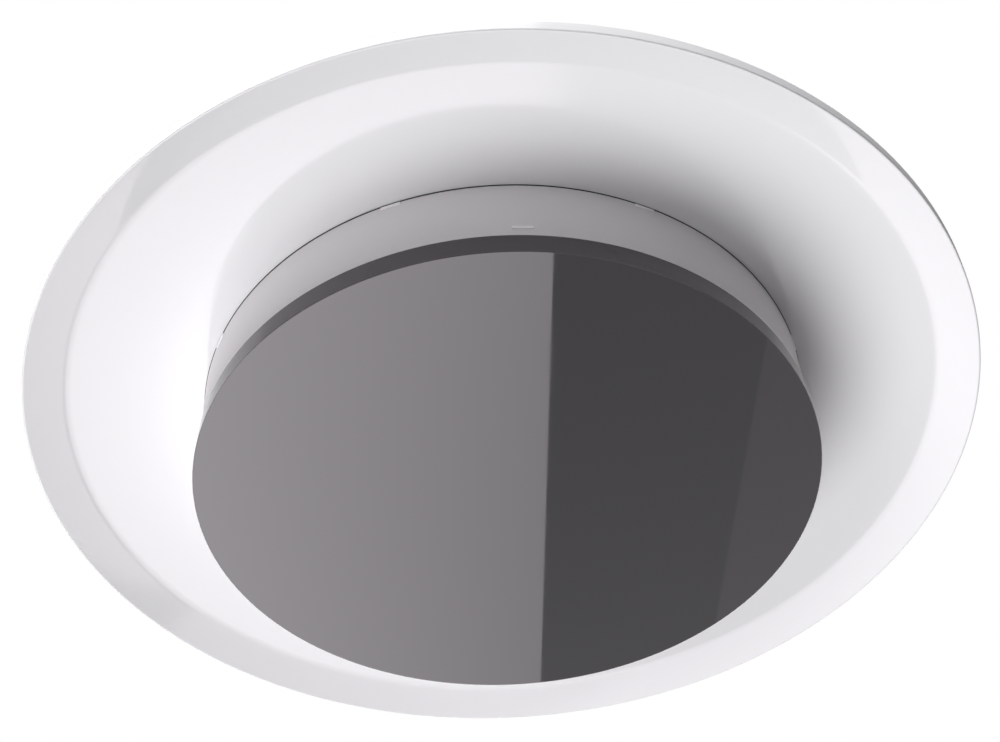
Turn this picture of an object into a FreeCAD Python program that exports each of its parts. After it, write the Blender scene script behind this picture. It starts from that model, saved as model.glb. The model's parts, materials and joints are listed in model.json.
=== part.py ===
import FreeCAD, Part
import math
import os
from collections import namedtuple

from FreeCAD import Vector

# A round wall light that backs onto the wall plane Y = 0 and faces the room along -Y, with +Z up.
# Sizes are in millimetres and degrees. Depths run from the wall into the room, and azimuths run
# clockwise from the top, as seen from the room.

# Dish
RIM_RADIUS = 150.0  # outer edge of the light
RIM_DEPTH = 35.0  # wall to the rim's front edge
RIM_WALL = 4.4  # depth of the turned-back rim
RIM_ROUND = 0.8  # rounding of the rim's front edge
DISH_SHEET = 1.5  # thickness of the spun sheet
FLOOR_SINK = 7.7  # rim's front edge to the floor beside the drum
FLOOR_FLAT = 1.0  # level floor past the drum's wall
FLOOR_SWEEP = 440.0  # radius of the floor's gentle hollow
LIP_ANGLE = 23.0  # slope of the lip inside the rim
LIP_FILLET = 20.0  # radius where the floor turns up into the lip

# Drum and its bars
DRUM_RADIUS = 95.1
DRUM_WALL = 2.5
DRUM_HEIGHT = 23.0
DRUM_FLANGE = 13.0  # width of the inward flange that the cap seats on
SEAM = 0.7  # dark line between the drum's foot and the dish
INDEX_AZIMUTH = 5.1  # where the single bar stands when the drum is locked
LUG_COUNT = 8
BAR_WIDTH = 6.0
BAR_HEIGHT = 1.6
BAR_PROUD = 0.5
BAR_LIFT = 0.6  # drum's foot to the bars beside it
INDEX_DROP = 3.0  # drum's front edge to the single bar
BAR_ROOT = 0.6  # how deep bars and lugs are rooted in the drum's wall

# Bayonet: lugs inside the drum turn under hooks on the ring
LUG_WIDTH = 7.2
LUG_THICK = 2.0
LUG_GAP = 0.6  # ring to the lug's back
LUG_SLACK = 0.3  # lug's front to the hook
HOOK_GAP = 0.8  # running gap round lugs and hooks
HOOK_REACH = 3.0
HOOK_POST = 2.0
HOOK_THICK = 2.0
HOOK_WIDTH = 14.0
STOP_WIDTH = 2.0
STOP_GAP = 0.3
RING_SHEET = 2.0
RING_WIDTH = 14.0
DISH_CLAMP = 5.0  # how far the ring laps over the dish

# Front cap
CAP_OVERHANG = 0.8  # cap past the drum's wall, at the cap's back
CAP_DRAFT = 0.3  # how much wider the cap is at its front
CAP_HEIGHT = 7.6
CAP_FACE = 3.0
CAP_SKIRT = 2.5
CAP_ROUND = 0.4
CAP_SEAT = 0.1  # cap's back to the drum's front
CAP_RIB = 3.5  # width of the rib that presses the seal
REFLECTOR_SHEET = 0.8
REFLECTOR_GAP = 0.5
CLIP_COUNT = 4
CLIP_SHEET = 0.8
CLIP_WIDTH = 10.0
CLIP_BASE = 10.0  # length of a clip's foot under its screw
CLIP_LEG = 6.5  # length of a clip's leg
CLIP_GAP = 0.5  # clip's leg to the drum's flange
CLIP_POST = 2.0  # height of the cap's posts under the clips
CLIP_POST_RADIUS = 4.0

# Seals
SEAL_WIDTH = 2.6
SEAL_DEPTH = 1.3
SEAL_CLEAR = 0.1
SEAL_INSET = 0.5  # dark line's step back from the drum's wall
SEAL_EDGE = 1.6  # wall left beside a seal's groove

# Tray against the wall
TRAY_STEP = 0.7  # dish's hole to the inside of the tray
TRAY_WALL = 3.0
TRAY_FLOOR = 2.5
TRAY_RECESS = 2.5  # hollow behind the tray's floor
TRAY_FOOT = 7.5  # width of the ring that meets the wall
TRAY_ROUND = 2.0
FLANGE_REACH = 4.5
FLANGE_THICK = 3.0
RIB_COUNT = 6
RIB_WIDTH = 2.0
RIB_SHORT = 0.6  # ribs stop this far short of the wall
BOSS_COUNT = 4
BOSS_RADIUS = 4.0
BOSS_GAP = 0.5
WEB_WIDTH = 3.0
WEB_DROP = 3.0  # webs stop this far behind the dish
SMALL_BOSS = 2.9  # radius of the bosses under the driver and the terminal block
ROOT = 0.5  # how deep bosses and ribs are rooted in what carries them
BOLT_SPACING = 84.0
SLOT_LENGTH = 12.0
SLOT_RADIUS = 2.75
PAD_MARGIN = 4.0

# Cable grommet
CABLE_RADIUS = 4.0
GROMMET_NECK = 8.0
GROMMET_FLANGE = 11.0
GROMMET_LIP = 1.5
GROMMET_NOSE = 4.5
GROMMET_TIP = 5.6  # outer radius at the nose's tip
GROMMET_CLEAR = 0.1
GROMMET_ROOM = 2.0  # grommet to the ribs' ends

# LED carrier and strip
CARRIER_SETBACK = 4.8  # ring to the carrier's wall
CARRIER_SHEET = 1.5
CARRIER_HEIGHT = 16.0
CARRIER_LAP = 1.0  # carrier's flange over the ring
EAR_RADIUS = 4.2
BOARD_WIDTH = 10.0
BOARD_THICK = 0.8
BOARD_GAP = 0.1  # adhesive under the strip
BOARD_OPEN = 12.0  # degrees left open for the connector
LED_COUNT = 48
LED_WIDTH = 2.8
LED_LENGTH = 3.5
LED_THICK = 0.8
LED_SEAT = 0.05
CONNECTOR_AZIMUTH = 80.0
CONNECTOR_WIDTH = 7.5
CONNECTOR_LENGTH = 6.5
CONNECTOR_THICK = 4.0

# LED driver
DRIVER_LENGTH = 72.0
DRIVER_WIDTH = 26.0
DRIVER_HEIGHT = 20.0
DRIVER_LOW = 16.0  # lower side of the case, above the light's axis
DRIVER_WALL = 1.6
LID_THICK = 2.0
LID_LIP = 1.5
LID_CLEAR = 0.2
DRIVER_EAR = 8.0
DRIVER_EAR_THICK = 2.5
DRIVER_EAR_LIFT = 5.0
DRIVER_EAR_WIDTH = 9.0
BOARD_CLEAR = 0.3  # driver's board to its case
BOARD_LIFT = 3.0
BOARD_FOOT = 1.5  # radius of the feet under the board
BOARD_FOOT_INSET = 3.0
DRIVER_BOARD_THICK = 1.6
COMPONENT_GAP = 3.0
TRANSFORMER_LENGTH = 15.0
TRANSFORMER_WIDTH = 12.0
TRANSFORMER_HEIGHT = 8.0
CAPACITOR_RADIUS = 3.5
CAPACITOR_HEIGHT = 8.0
CHOKE_RADIUS = 4.0
CHOKE_HEIGHT = 6.0
BRIDGE_LENGTH = 4.0
BRIDGE_WIDTH = 8.0
BRIDGE_HEIGHT = 3.0

# Terminal block
TERMINAL_X = 8.0
TERMINAL_Z = -34.0
TERMINAL_LENGTH = 22.0  # along the wires
TERMINAL_HEIGHT = 13.0
POLE_PITCH = 8.0
POLE_COUNT = 3
TERMINAL_CHEEK = 1.5
TERMINAL_EAR = 6.0
TERMINAL_EAR_THICK = 2.0
TERMINAL_EAR_LIFT = 3.0
SUPPLY_RADIUS = 1.9
SUPPLY_DEPTH = 8.0
LEAD_SOCKET = 5.0
WIRE_LIFT = 5.0  # tray's floor to the leads' centres
BUTTON_LENGTH = 4.0
BUTTON_WIDTH = 5.0
BUTTON_PROUD = 2.0
BUTTON_SUNK = 3.0
BUTTON_TRAVEL = 1.5
BUTTON_CLEAR = 0.2
BUTTON_FLOOR = 0.5  # room left under a pressed button
CONTACT_LENGTH = 16.0
CONTACT_WIDTH = 4.0
CONTACT_THICK = 1.0
CONTACT_CLEAR = 0.1

# Earth point
EARTH_X = -16.0
EARTH_Z = -4.0
EARTH_BOSS = 4.5
EARTH_LIFT = 5.0
TAG_RADIUS = 4.0
TAG_THICK = 0.8
TAG_NECK = 3.0
TAG_REACH = 4.5
BARREL_RADIUS = 1.9
BARREL_LENGTH = 5.0
WASHER_RADIUS = 3.6
WASHER_THICK = 0.8

# Leads
MAINS_RADIUS = 1.3
LED_LEAD_RADIUS = 0.8
LEAD_CLEAR = 0.2
LEAD_BEND = 0.45  # share of the shorter run that a bend takes up
LIVE_X = -31.0
NEUTRAL_X = -25.0
PLUS_X = 22.0
MINUS_X = 28.0
OUTPUT_LIFT = 9.0
LEAD_SPREAD = 1.4  # LED leads either side of the connector's middle

# Screws: radii of the shank and the head, height of the head, length of the shank
RING_SCREW_SHANK = 1.75
RING_SCREW_HEAD = 3.0
RING_SCREW_HEIGHT = 2.2
RING_SCREW_LENGTH = 14.0
CARRIER_SCREW_SHANK = 1.5
CARRIER_SCREW_HEAD = 2.7
CARRIER_SCREW_HEIGHT = 2.0
CARRIER_SCREW_LENGTH = 7.0
SMALL_SCREW_SHANK = 1.25
SMALL_SCREW_HEAD = 2.4
SMALL_SCREW_HEIGHT = 1.8
SMALL_SCREW_LENGTH = 5.0
EARTH_SCREW_SHANK = 1.75
EARTH_SCREW_HEAD = 3.2
EARTH_SCREW_HEIGHT = 2.4
EARTH_SCREW_LENGTH = 6.0
CLIP_SCREW_SHANK = 1.1
CLIP_SCREW_HEAD = 2.2
CLIP_SCREW_HEIGHT = 1.4
CLIP_SCREW_LENGTH = 4.0
Screw = namedtuple("Screw", "shank head_radius head_height length")
RING_SCREW = Screw(RING_SCREW_SHANK, RING_SCREW_HEAD, RING_SCREW_HEIGHT, RING_SCREW_LENGTH)
CARRIER_SCREW = Screw(CARRIER_SCREW_SHANK, CARRIER_SCREW_HEAD, CARRIER_SCREW_HEIGHT, CARRIER_SCREW_LENGTH)
SMALL_SCREW = Screw(SMALL_SCREW_SHANK, SMALL_SCREW_HEAD, SMALL_SCREW_HEIGHT, SMALL_SCREW_LENGTH)
EARTH_SCREW = Screw(EARTH_SCREW_SHANK, EARTH_SCREW_HEAD, EARTH_SCREW_HEIGHT, EARTH_SCREW_LENGTH)
CLIP_SCREW = Screw(CLIP_SCREW_SHANK, CLIP_SCREW_HEAD, CLIP_SCREW_HEIGHT, CLIP_SCREW_LENGTH)
RECESS_WIDTH = 0.8
RECESS_DEPTH = 1.0
THREAD_CLEAR = 0.05
PASS_CLEAR = 0.2
PASS = 1.0  # how far a cut runs past the faces that it goes through

CENTRE = Vector(0, 0, 0)
WALLWARDS = Vector(0, 1, 0)
ROOMWARDS = Vector(0, -1, 0)
UPWARDS = Vector(0, 0, 1)
SIDEWARDS = Vector(1, 0, 0)

# Radii that follow from the drum, from the outside in
drum_inner = DRUM_RADIUS - DRUM_WALL
flange_bore = drum_inner - DRUM_FLANGE
hook_tip = drum_inner - HOOK_GAP
ring_outer = hook_tip - HOOK_REACH
lug_inner = ring_outer + HOOK_GAP
ring_inner = ring_outer - RING_WIDTH
dish_hole = ring_outer - DISH_CLAMP
tray_inner = dish_hole + TRAY_STEP
tray_outer = tray_inner + TRAY_WALL
recess_radius = tray_outer - TRAY_FOOT
wall_seal_inner = recess_radius + SEAL_EDGE
dish_seal_inner = tray_inner + SEAL_EDGE
cap_seal_inner = drum_inner - SEAL_EDGE - SEAL_WIDTH
screw_circle = dish_hole - BOSS_GAP - BOSS_RADIUS
carrier_radius = ring_inner - CARRIER_SETBACK
board_radius = carrier_radius + BOARD_GAP
led_radius = board_radius + BOARD_THICK + LED_SEAT
cap_radius = DRUM_RADIUS + CAP_OVERHANG
clip_outer = flange_bore - CLIP_GAP
clip_post_circle = clip_outer - CLIP_SHEET - CLIP_BASE / 2

# Depths that follow from the rim, from the wall out
tray_floor = TRAY_RECESS + TRAY_FLOOR
floor_front = RIM_DEPTH - FLOOR_SINK
floor_back = floor_front - DISH_SHEET
ring_front = floor_front + RING_SHEET
lug_back = ring_front + LUG_GAP
lug_front = lug_back + LUG_THICK
hook_back = lug_front + LUG_SLACK
hook_front = hook_back + HOOK_THICK
drum_back = floor_front + SEAM
drum_front = drum_back + DRUM_HEIGHT
flange_back = drum_front - DRUM_WALL
cap_back = drum_front + CAP_SEAT
cap_front = cap_back + CAP_HEIGHT
cap_inside = cap_front - CAP_FACE
clip_seat = cap_inside - CLIP_POST
clip_screw_seat = clip_seat - CLIP_SHEET
carrier_seat = ring_front + CARRIER_SHEET
carrier_front = ring_front + CARRIER_HEIGHT
board_middle = (carrier_seat + carrier_front) / 2

# Places of the gear in the tray
driver_high = DRIVER_LOW + DRIVER_WIDTH
driver_middle = (DRIVER_LOW + driver_high) / 2
driver_front = tray_floor + DRIVER_HEIGHT
driver_ear = tray_floor + DRIVER_EAR_LIFT
driver_ear_x = (DRIVER_LENGTH + DRIVER_EAR) / 2
board_top = tray_floor + DRIVER_WALL + BOARD_LIFT + DRIVER_BOARD_THICK
terminal_left = TERMINAL_X - TERMINAL_LENGTH / 2
terminal_right = TERMINAL_X + TERMINAL_LENGTH / 2
terminal_half = POLE_COUNT * POLE_PITCH / 2 + TERMINAL_CHEEK
terminal_front = tray_floor + TERMINAL_HEIGHT
terminal_ear = tray_floor + TERMINAL_EAR_LIFT
terminal_ear_z = terminal_half + TERMINAL_EAR / 2
pole_heights = [TERMINAL_Z + POLE_PITCH * (pole - (POLE_COUNT - 1) / 2) for pole in range(POLE_COUNT)]
wire_depth = tray_floor + WIRE_LIFT
button_back = terminal_front - BUTTON_SUNK
contact_back = wire_depth - SUPPLY_RADIUS - CONTACT_CLEAR - CONTACT_THICK
earth_seat = tray_floor + EARTH_LIFT
earth_screw_seat = earth_seat + TAG_THICK + WASHER_THICK

lug_span = math.degrees(LUG_WIDTH / drum_inner)
bar_span = math.degrees(BAR_WIDTH / DRUM_RADIUS)
lug_azimuths = [INDEX_AZIMUTH + (lug + 0.5) * 360 / LUG_COUNT for lug in range(LUG_COUNT)]
boss_azimuths = [boss * 360 / BOSS_COUNT for boss in range(BOSS_COUNT)]
ear_azimuths = [(boss + 0.5) * 360 / BOSS_COUNT for boss in range(BOSS_COUNT)]
clip_azimuths = [clip * 360 / CLIP_COUNT for clip in range(CLIP_COUNT)]


def place(x, depth, z):
    """Point in the part's frame from a depth in front of the wall."""
    return Vector(x, -depth, z)


def around(radius, azimuth):
    """Across and up from the light's axis, for a radius and an azimuth."""
    angle = math.radians(azimuth)
    return radius * math.sin(angle), radius * math.cos(angle)


def outline(start, *steps):
    """Face in the upright plane through the axis, from (radius, depth) corners and (middle, end) arcs."""
    edges = []
    here = place(0, start[1], start[0])
    for step in steps + (start,):
        if isinstance(step[0], tuple):
            middle, end = (place(0, depth, radius) for radius, depth in step)
            edges.append(Part.Arc(here, middle, end).toShape())
        else:
            end = place(0, step[1], step[0])
            edges.append(Part.LineSegment(here, end).toShape())
        here = end
    return Part.Face(Part.Wire(edges))


def turned(start, *steps):
    return outline(start, *steps).revolve(CENTRE, WALLWARDS, 360)


def ring(inner, outer, back, front):
    return turned((inner, back), (outer, back), (outer, front), (inner, front))


def facing(shape, azimuth):
    """Shape made at the top of the light, turned to an azimuth."""
    return shape.rotated(CENTRE, WALLWARDS, azimuth)


def sector(inner, outer, back, front, first, last):
    """Part of a ring between two azimuths."""
    section = outline((inner, back), (outer, back), (outer, front), (inner, front))
    return facing(section.revolve(CENTRE, WALLWARDS, last - first), first)


def rod(radius, back, front, x=0.0, z=0.0):
    return Part.makeCylinder(radius, front - back, place(x, back, z), ROOMWARDS)


def block(left, right, back, front, low, high):
    return Part.makeBox(right - left, front - back, high - low, place(left, front, low))


def slot(length, radius, back, front, x, z):
    """Round-ended bar along X, for cutting a slot."""
    half = length / 2 - radius
    ends = [rod(radius, back, front, x - half, z), rod(radius, back, front, x + half, z)]
    return block(x - half, x + half, back, front, z - radius, z + radius).multiFuse(ends).removeSplitter()


def screw(kind, x, seat, z, turned_round=False):
    """Cross-head screw with its head on a seat, facing the room unless it is turned round."""
    body = rod(kind.head_radius, 0, kind.head_height).fuse(rod(kind.shank, -kind.length, 0))
    recess_back = kind.head_height - RECESS_DEPTH
    half = RECESS_WIDTH / 2
    arms = [
        block(-kind.shank, kind.shank, recess_back, kind.head_height + PASS, -half, half),
        block(-half, half, recess_back, kind.head_height + PASS, -kind.shank, kind.shank),
    ]
    body = body.cut(arms)
    if turned_round:
        body.rotate(CENTRE, SIDEWARDS, 180)
    body.translate(place(x, seat, z))
    return body


def screws_around(kind, circle, seat, azimuths, turned_round=False):
    spots = [around(circle, azimuth) for azimuth in azimuths]
    return Part.makeCompound([screw(kind, x, seat, z, turned_round) for x, z in spots])


def thread_hole(kind, seat, x, z):
    """Hole that a screw standing on a seat threads into, with room past its tip."""
    return rod(kind.shank + THREAD_CLEAR, seat - kind.length - THREAD_CLEAR, seat + PASS, x, z)


def arc_middle(centre, start, end):
    """Middle of the short arc from start to end about a centre, in a turned outline."""
    swing = [a + b - 2 * c for a, b, c in zip(start, end, centre)]
    share = math.dist(centre, start) / math.hypot(*swing)
    return tuple(c + share * s for c, s in zip(centre, swing))


def reflector_dish():
    """Spun dish: level by the drum, gently hollow, then turned up into a lip and back at the rim."""
    slope = math.radians(LIP_ANGLE)
    along = (math.cos(slope), math.sin(slope))
    normal = (-math.sin(slope), math.cos(slope))
    level_end = DRUM_RADIUS + FLOOR_FLAT
    sweep = (level_end, floor_front + FLOOR_SWEEP)
    # The fillet's centre is one fillet radius off the lip, and nearer than the floor to the sweep's centre.
    off = (
        RIM_RADIUS + normal[0] * LIP_FILLET - sweep[0],
        RIM_DEPTH + normal[1] * LIP_FILLET - sweep[1],
    )
    lean = off[0] * along[0] + off[1] * along[1]
    reach = FLOOR_SWEEP - LIP_FILLET
    lip_length = lean + math.sqrt(lean**2 + reach**2 - off[0] ** 2 - off[1] ** 2)
    fillet = tuple(c + o - lip_length * a for c, o, a in zip(sweep, off, along))

    def face_points(sheet):
        """Floor end, fillet start and fillet end of the face that lies a sheet's depth behind the front."""
        share = (FLOOR_SWEEP + sheet) / math.dist(sweep, fillet)
        fillet_start = tuple(s + share * (f - s) for s, f in zip(sweep, fillet))
        fillet_end = tuple(f - (LIP_FILLET + sheet) * n for f, n in zip(fillet, normal))
        return (level_end, floor_front - sheet), fillet_start, fillet_end

    front_level, front_start, front_end = face_points(0)
    back_level, back_start, back_end = face_points(DISH_SHEET)
    rim_inner = RIM_RADIUS - DISH_SHEET
    rim_corner = RIM_DEPTH - DISH_SHEET / math.cos(slope) - DISH_SHEET * math.tan(slope)
    dish = turned(
        (dish_hole, floor_front),
        front_level,
        (arc_middle(sweep, front_level, front_start), front_start),
        (arc_middle(fillet, front_start, front_end), front_end),
        (RIM_RADIUS, RIM_DEPTH),
        (RIM_RADIUS, RIM_DEPTH - RIM_WALL),
        (rim_inner, RIM_DEPTH - RIM_WALL),
        (rim_inner, rim_corner),
        back_end,
        (arc_middle(fillet, back_end, back_start), back_start),
        (arc_middle(sweep, back_start, back_level), back_level),
        (dish_hole, floor_back),
    )
    return rounded(dish, RIM_RADIUS, RIM_DEPTH, RIM_ROUND)


def rounded(shape, radius, depth, rounding):
    """Shape with the circular edge at a radius and depth rounded off."""
    edges = []
    for edge in shape.Edges:
        curve = edge.Curve
        if isinstance(curve, Part.Circle) and math.isclose(curve.Radius, radius, abs_tol=1e-6):
            if math.isclose(curve.Center.y, -depth, abs_tol=1e-6):
                edges.append(edge)
    return shape.makeFillet(rounding, edges)


def diffuser_drum():
    drum = turned(
        (drum_inner, drum_back),
        (DRUM_RADIUS, drum_back),
        (DRUM_RADIUS, drum_front),
        (flange_bore, drum_front),
        (flange_bore, flange_back),
        (drum_inner, flange_back),
    )
    root = DRUM_RADIUS - BAR_ROOT
    proud = DRUM_RADIUS + BAR_PROUD
    half_bar = bar_span / 2
    bar_back = drum_back + BAR_LIFT
    index_front = drum_front - INDEX_DROP
    index_ends = (INDEX_AZIMUTH - half_bar, INDEX_AZIMUTH + half_bar)
    extras = [sector(root, proud, index_front - BAR_HEIGHT, index_front, *index_ends)]
    for azimuth in lug_azimuths:
        bar = sector(root, proud, bar_back, bar_back + BAR_HEIGHT, azimuth - half_bar, azimuth + half_bar)
        lug_ends = (azimuth - lug_span / 2, azimuth + lug_span / 2)
        extras += [bar, sector(lug_inner, drum_inner + BAR_ROOT, lug_back, lug_front, *lug_ends)]
    groove_back = drum_front - SEAL_DEPTH
    groove = ring(cap_seal_inner, cap_seal_inner + SEAL_WIDTH, groove_back, drum_front + PASS)
    return drum.multiFuse(extras).cut(groove)


def seal_ring(inner, back, front):
    """Seal lying in a groove that starts at a radius."""
    return ring(inner + SEAL_CLEAR, inner + SEAL_WIDTH - SEAL_CLEAR, back, front)


def bayonet_ring():
    """Flat ring with eight hooks that the drum's lugs turn under, each closed by a stop on one side."""
    plate = ring(ring_inner, ring_outer, floor_front, ring_front)
    hook_span = math.degrees(HOOK_WIDTH / drum_inner)
    stop_span = math.degrees(STOP_WIDTH / drum_inner)
    stop_start = lug_span / 2 + math.degrees(STOP_GAP / drum_inner)
    post_inner = ring_outer - HOOK_POST
    solids = []
    for azimuth in lug_azimuths:
        stop = azimuth + stop_start
        last = stop + stop_span
        first = last - hook_span
        solids += [
            sector(post_inner, ring_outer, ring_front - ROOT, hook_front, first, last),
            sector(post_inner, hook_tip, hook_back, hook_front, first, last),
            sector(post_inner, hook_tip, lug_back, hook_front, stop, last),
        ]
    cuts = []
    for azimuth in boss_azimuths:
        x, z = around(screw_circle, azimuth)
        cuts.append(rod(RING_SCREW.shank + PASS_CLEAR, floor_front - PASS, ring_front + PASS, x, z))
    for azimuth in ear_azimuths:
        x, z = around(screw_circle, azimuth)
        solids.append(rod(BOSS_RADIUS, carrier_seat - CARRIER_SCREW.length - ROOT, ring_front, x, z))
        cuts.append(thread_hole(CARRIER_SCREW, carrier_seat, x, z))
    return plate.multiFuse(solids).cut(cuts)


def base_tray():
    """Round tray with the fixing slots, the cable's hole and the bosses that carry the rest."""
    flange_start = floor_back - FLANGE_THICK
    bend = TRAY_ROUND * (1 - math.sqrt(0.5))
    tray = turned(
        (0, TRAY_RECESS),
        (recess_radius, TRAY_RECESS),
        (recess_radius, 0),
        (tray_outer - TRAY_ROUND, 0),
        ((tray_outer - bend, bend), (tray_outer, TRAY_ROUND)),
        (tray_outer, flange_start),
        (tray_outer + FLANGE_REACH, flange_start),
        (tray_outer + FLANGE_REACH, floor_back),
        (tray_inner, floor_back),
        (tray_inner, tray_floor),
        (0, tray_floor),
    )
    solids = []
    cuts = []
    for azimuth in boss_azimuths:
        x, z = around(screw_circle, azimuth)
        web_front = floor_back - WEB_DROP
        half = WEB_WIDTH / 2
        web = block(-half, half, tray_floor - ROOT, web_front, screw_circle, tray_inner + ROOT)
        solids += [rod(BOSS_RADIUS, tray_floor - ROOT, floor_front, x, z), facing(web, azimuth)]
        cuts.append(thread_hole(RING_SCREW, ring_front, x, z))
    rib = block(
        -RIB_WIDTH / 2,
        RIB_WIDTH / 2,
        RIB_SHORT,
        TRAY_RECESS + ROOT,
        GROMMET_FLANGE + GROMMET_ROOM,
        recess_radius + ROOT,
    )
    solids += [facing(rib, number * 360 / RIB_COUNT) for number in range(RIB_COUNT)]
    for x in (-BOLT_SPACING / 2, BOLT_SPACING / 2):
        solids.append(rod(SLOT_LENGTH / 2 + PAD_MARGIN, 0, TRAY_RECESS + ROOT, x))
        cuts.append(slot(SLOT_LENGTH, SLOT_RADIUS, -PASS, tray_floor + PASS, x, 0))
    small_seats = [(side * driver_ear_x, driver_ear, driver_middle) for side in (-1, 1)]
    small_seats += [(TERMINAL_X, terminal_ear, TERMINAL_Z + side * terminal_ear_z) for side in (-1, 1)]
    for x, seat, z in small_seats:
        solids.append(rod(SMALL_BOSS, tray_floor - ROOT, seat, x, z))
    for x, seat, z in driver_screw_seats() + terminal_screw_seats():
        cuts.append(thread_hole(SMALL_SCREW, seat, x, z))
    solids.append(rod(EARTH_BOSS, tray_floor - ROOT, earth_seat, EARTH_X, EARTH_Z))
    cuts.append(thread_hole(EARTH_SCREW, earth_screw_seat, EARTH_X, EARTH_Z))
    cuts.append(rod(GROMMET_NECK, -PASS, tray_floor + PASS))
    cuts.append(ring(wall_seal_inner, wall_seal_inner + SEAL_WIDTH, -PASS, SEAL_DEPTH))
    groove_back = floor_back - SEAL_DEPTH
    cuts.append(ring(dish_seal_inner, dish_seal_inner + SEAL_WIDTH, groove_back, floor_back + PASS))
    return tray.multiFuse(solids).cut(cuts)


def driver_screw_seats():
    return [(side * driver_ear_x, driver_ear + DRIVER_EAR_THICK, driver_middle) for side in (-1, 1)]


def terminal_screw_seats():
    seat = terminal_ear + TERMINAL_EAR_THICK
    return [(TERMINAL_X, seat, TERMINAL_Z + side * terminal_ear_z) for side in (-1, 1)]


def cable_grommet():
    """Rubber grommet that grips the tray's floor from both sides, with a nose round the cable."""
    neck = GROMMET_NECK - GROMMET_CLEAR
    inside = tray_floor + GROMMET_LIP
    return turned(
        (CABLE_RADIUS, TRAY_RECESS - GROMMET_LIP),
        (GROMMET_FLANGE, TRAY_RECESS - GROMMET_LIP),
        (GROMMET_FLANGE, TRAY_RECESS),
        (neck, TRAY_RECESS),
        (neck, tray_floor),
        (GROMMET_FLANGE, tray_floor),
        (GROMMET_FLANGE, inside),
        (neck, inside),
        (GROMMET_TIP, inside + GROMMET_NOSE),
        (CABLE_RADIUS, inside + GROMMET_NOSE),
    )


def led_carrier():
    """Hat-shaped carrier whose wall holds the strip and whose four ears are screwed to the ring."""
    inside = carrier_radius - CARRIER_SHEET
    flange = ring_inner + CARRIER_LAP
    hat = turned(
        (0, carrier_front),
        (carrier_radius, carrier_front),
        (carrier_radius, carrier_seat),
        (flange, carrier_seat),
        (flange, ring_front),
        (inside, ring_front),
        (inside, carrier_front - CARRIER_SHEET),
        (0, carrier_front - CARRIER_SHEET),
    )
    solids = []
    cuts = []
    for azimuth in ear_azimuths:
        x, z = around(screw_circle, azimuth)
        tab = block(-EAR_RADIUS, EAR_RADIUS, ring_front, carrier_seat, carrier_radius, screw_circle)
        solids += [facing(tab, azimuth), rod(EAR_RADIUS, ring_front, carrier_seat, x, z)]
        cuts.append(rod(CARRIER_SCREW.shank + PASS_CLEAR, ring_front - PASS, carrier_seat + PASS, x, z))
    for depth in led_lead_depths():
        start = place(0, depth, inside - PASS)
        through = CARRIER_SHEET + 2 * PASS
        hole = Part.makeCylinder(LED_LEAD_RADIUS + LEAD_CLEAR, through, start, UPWARDS)
        cuts.append(facing(hole, CONNECTOR_AZIMUTH))
    return hat.multiFuse(solids).cut(cuts)


def led_lead_depths():
    """Depths of the plus and the minus lead where they pass through the carrier."""
    return board_middle + LEAD_SPREAD, board_middle - LEAD_SPREAD


def led_board():
    back = board_middle - BOARD_WIDTH / 2
    first = CONNECTOR_AZIMUTH + BOARD_OPEN / 2
    last = first + 360 - BOARD_OPEN
    return sector(board_radius, board_radius + BOARD_THICK, back, back + BOARD_WIDTH, first, last)


def led_packages():
    """LEDs spaced evenly along the strip, clear of its ends."""
    half = LED_WIDTH / 2
    back = board_middle - LED_LENGTH / 2
    package = block(-half, half, back, back + LED_LENGTH, led_radius, led_radius + LED_THICK)
    step = (360 - BOARD_OPEN) / LED_COUNT
    first = CONNECTOR_AZIMUTH + BOARD_OPEN / 2 + step / 2
    return Part.makeCompound([facing(package, first + number * step) for number in range(LED_COUNT)])


def led_connector():
    half = CONNECTOR_WIDTH / 2
    back = board_middle - CONNECTOR_LENGTH / 2
    body = block(-half, half, back, back + CONNECTOR_LENGTH, board_radius, board_radius + CONNECTOR_THICK)
    return facing(body, CONNECTOR_AZIMUTH)


def driver_case():
    half = DRIVER_LENGTH / 2
    front = driver_front - LID_THICK
    case = block(-half, half, tray_floor, front, DRIVER_LOW, driver_high)
    hollow = block(
        DRIVER_WALL - half,
        half - DRIVER_WALL,
        tray_floor + DRIVER_WALL,
        front + PASS,
        DRIVER_LOW + DRIVER_WALL,
        driver_high - DRIVER_WALL,
    )
    low = driver_middle - DRIVER_EAR_WIDTH / 2
    reach = half + DRIVER_EAR
    ear_front = driver_ear + DRIVER_EAR_THICK
    ears = block(-reach, reach, driver_ear, ear_front, low, low + DRIVER_EAR_WIDTH)
    holes = []
    for x, seat, z in driver_screw_seats():
        holes.append(rod(SMALL_SCREW.shank + PASS_CLEAR, driver_ear - PASS, seat + PASS, x, z))
    for x, depth, radius in lead_entries():
        start = place(x, depth, DRIVER_LOW - PASS)
        holes.append(Part.makeCylinder(radius + LEAD_CLEAR, DRIVER_WALL + 2 * PASS, start, UPWARDS))
    return case.fuse(ears).cut([hollow] + holes)


def lead_entries():
    """Across, depth and radius of each lead where it goes into the driver's lower side."""
    output = tray_floor + OUTPUT_LIFT
    return [
        (LIVE_X, wire_depth, MAINS_RADIUS),
        (NEUTRAL_X, wire_depth, MAINS_RADIUS),
        (PLUS_X, output, LED_LEAD_RADIUS),
        (MINUS_X, output, LED_LEAD_RADIUS),
    ]


def driver_lid():
    half = DRIVER_LENGTH / 2
    front = driver_front - LID_THICK
    inset = DRIVER_WALL + LID_CLEAR
    plate = block(-half, half, front, driver_front, DRIVER_LOW, driver_high)
    lip = block(inset - half, half - inset, front - LID_LIP, front, DRIVER_LOW + inset, driver_high - inset)
    return plate.fuse(lip)


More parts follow.
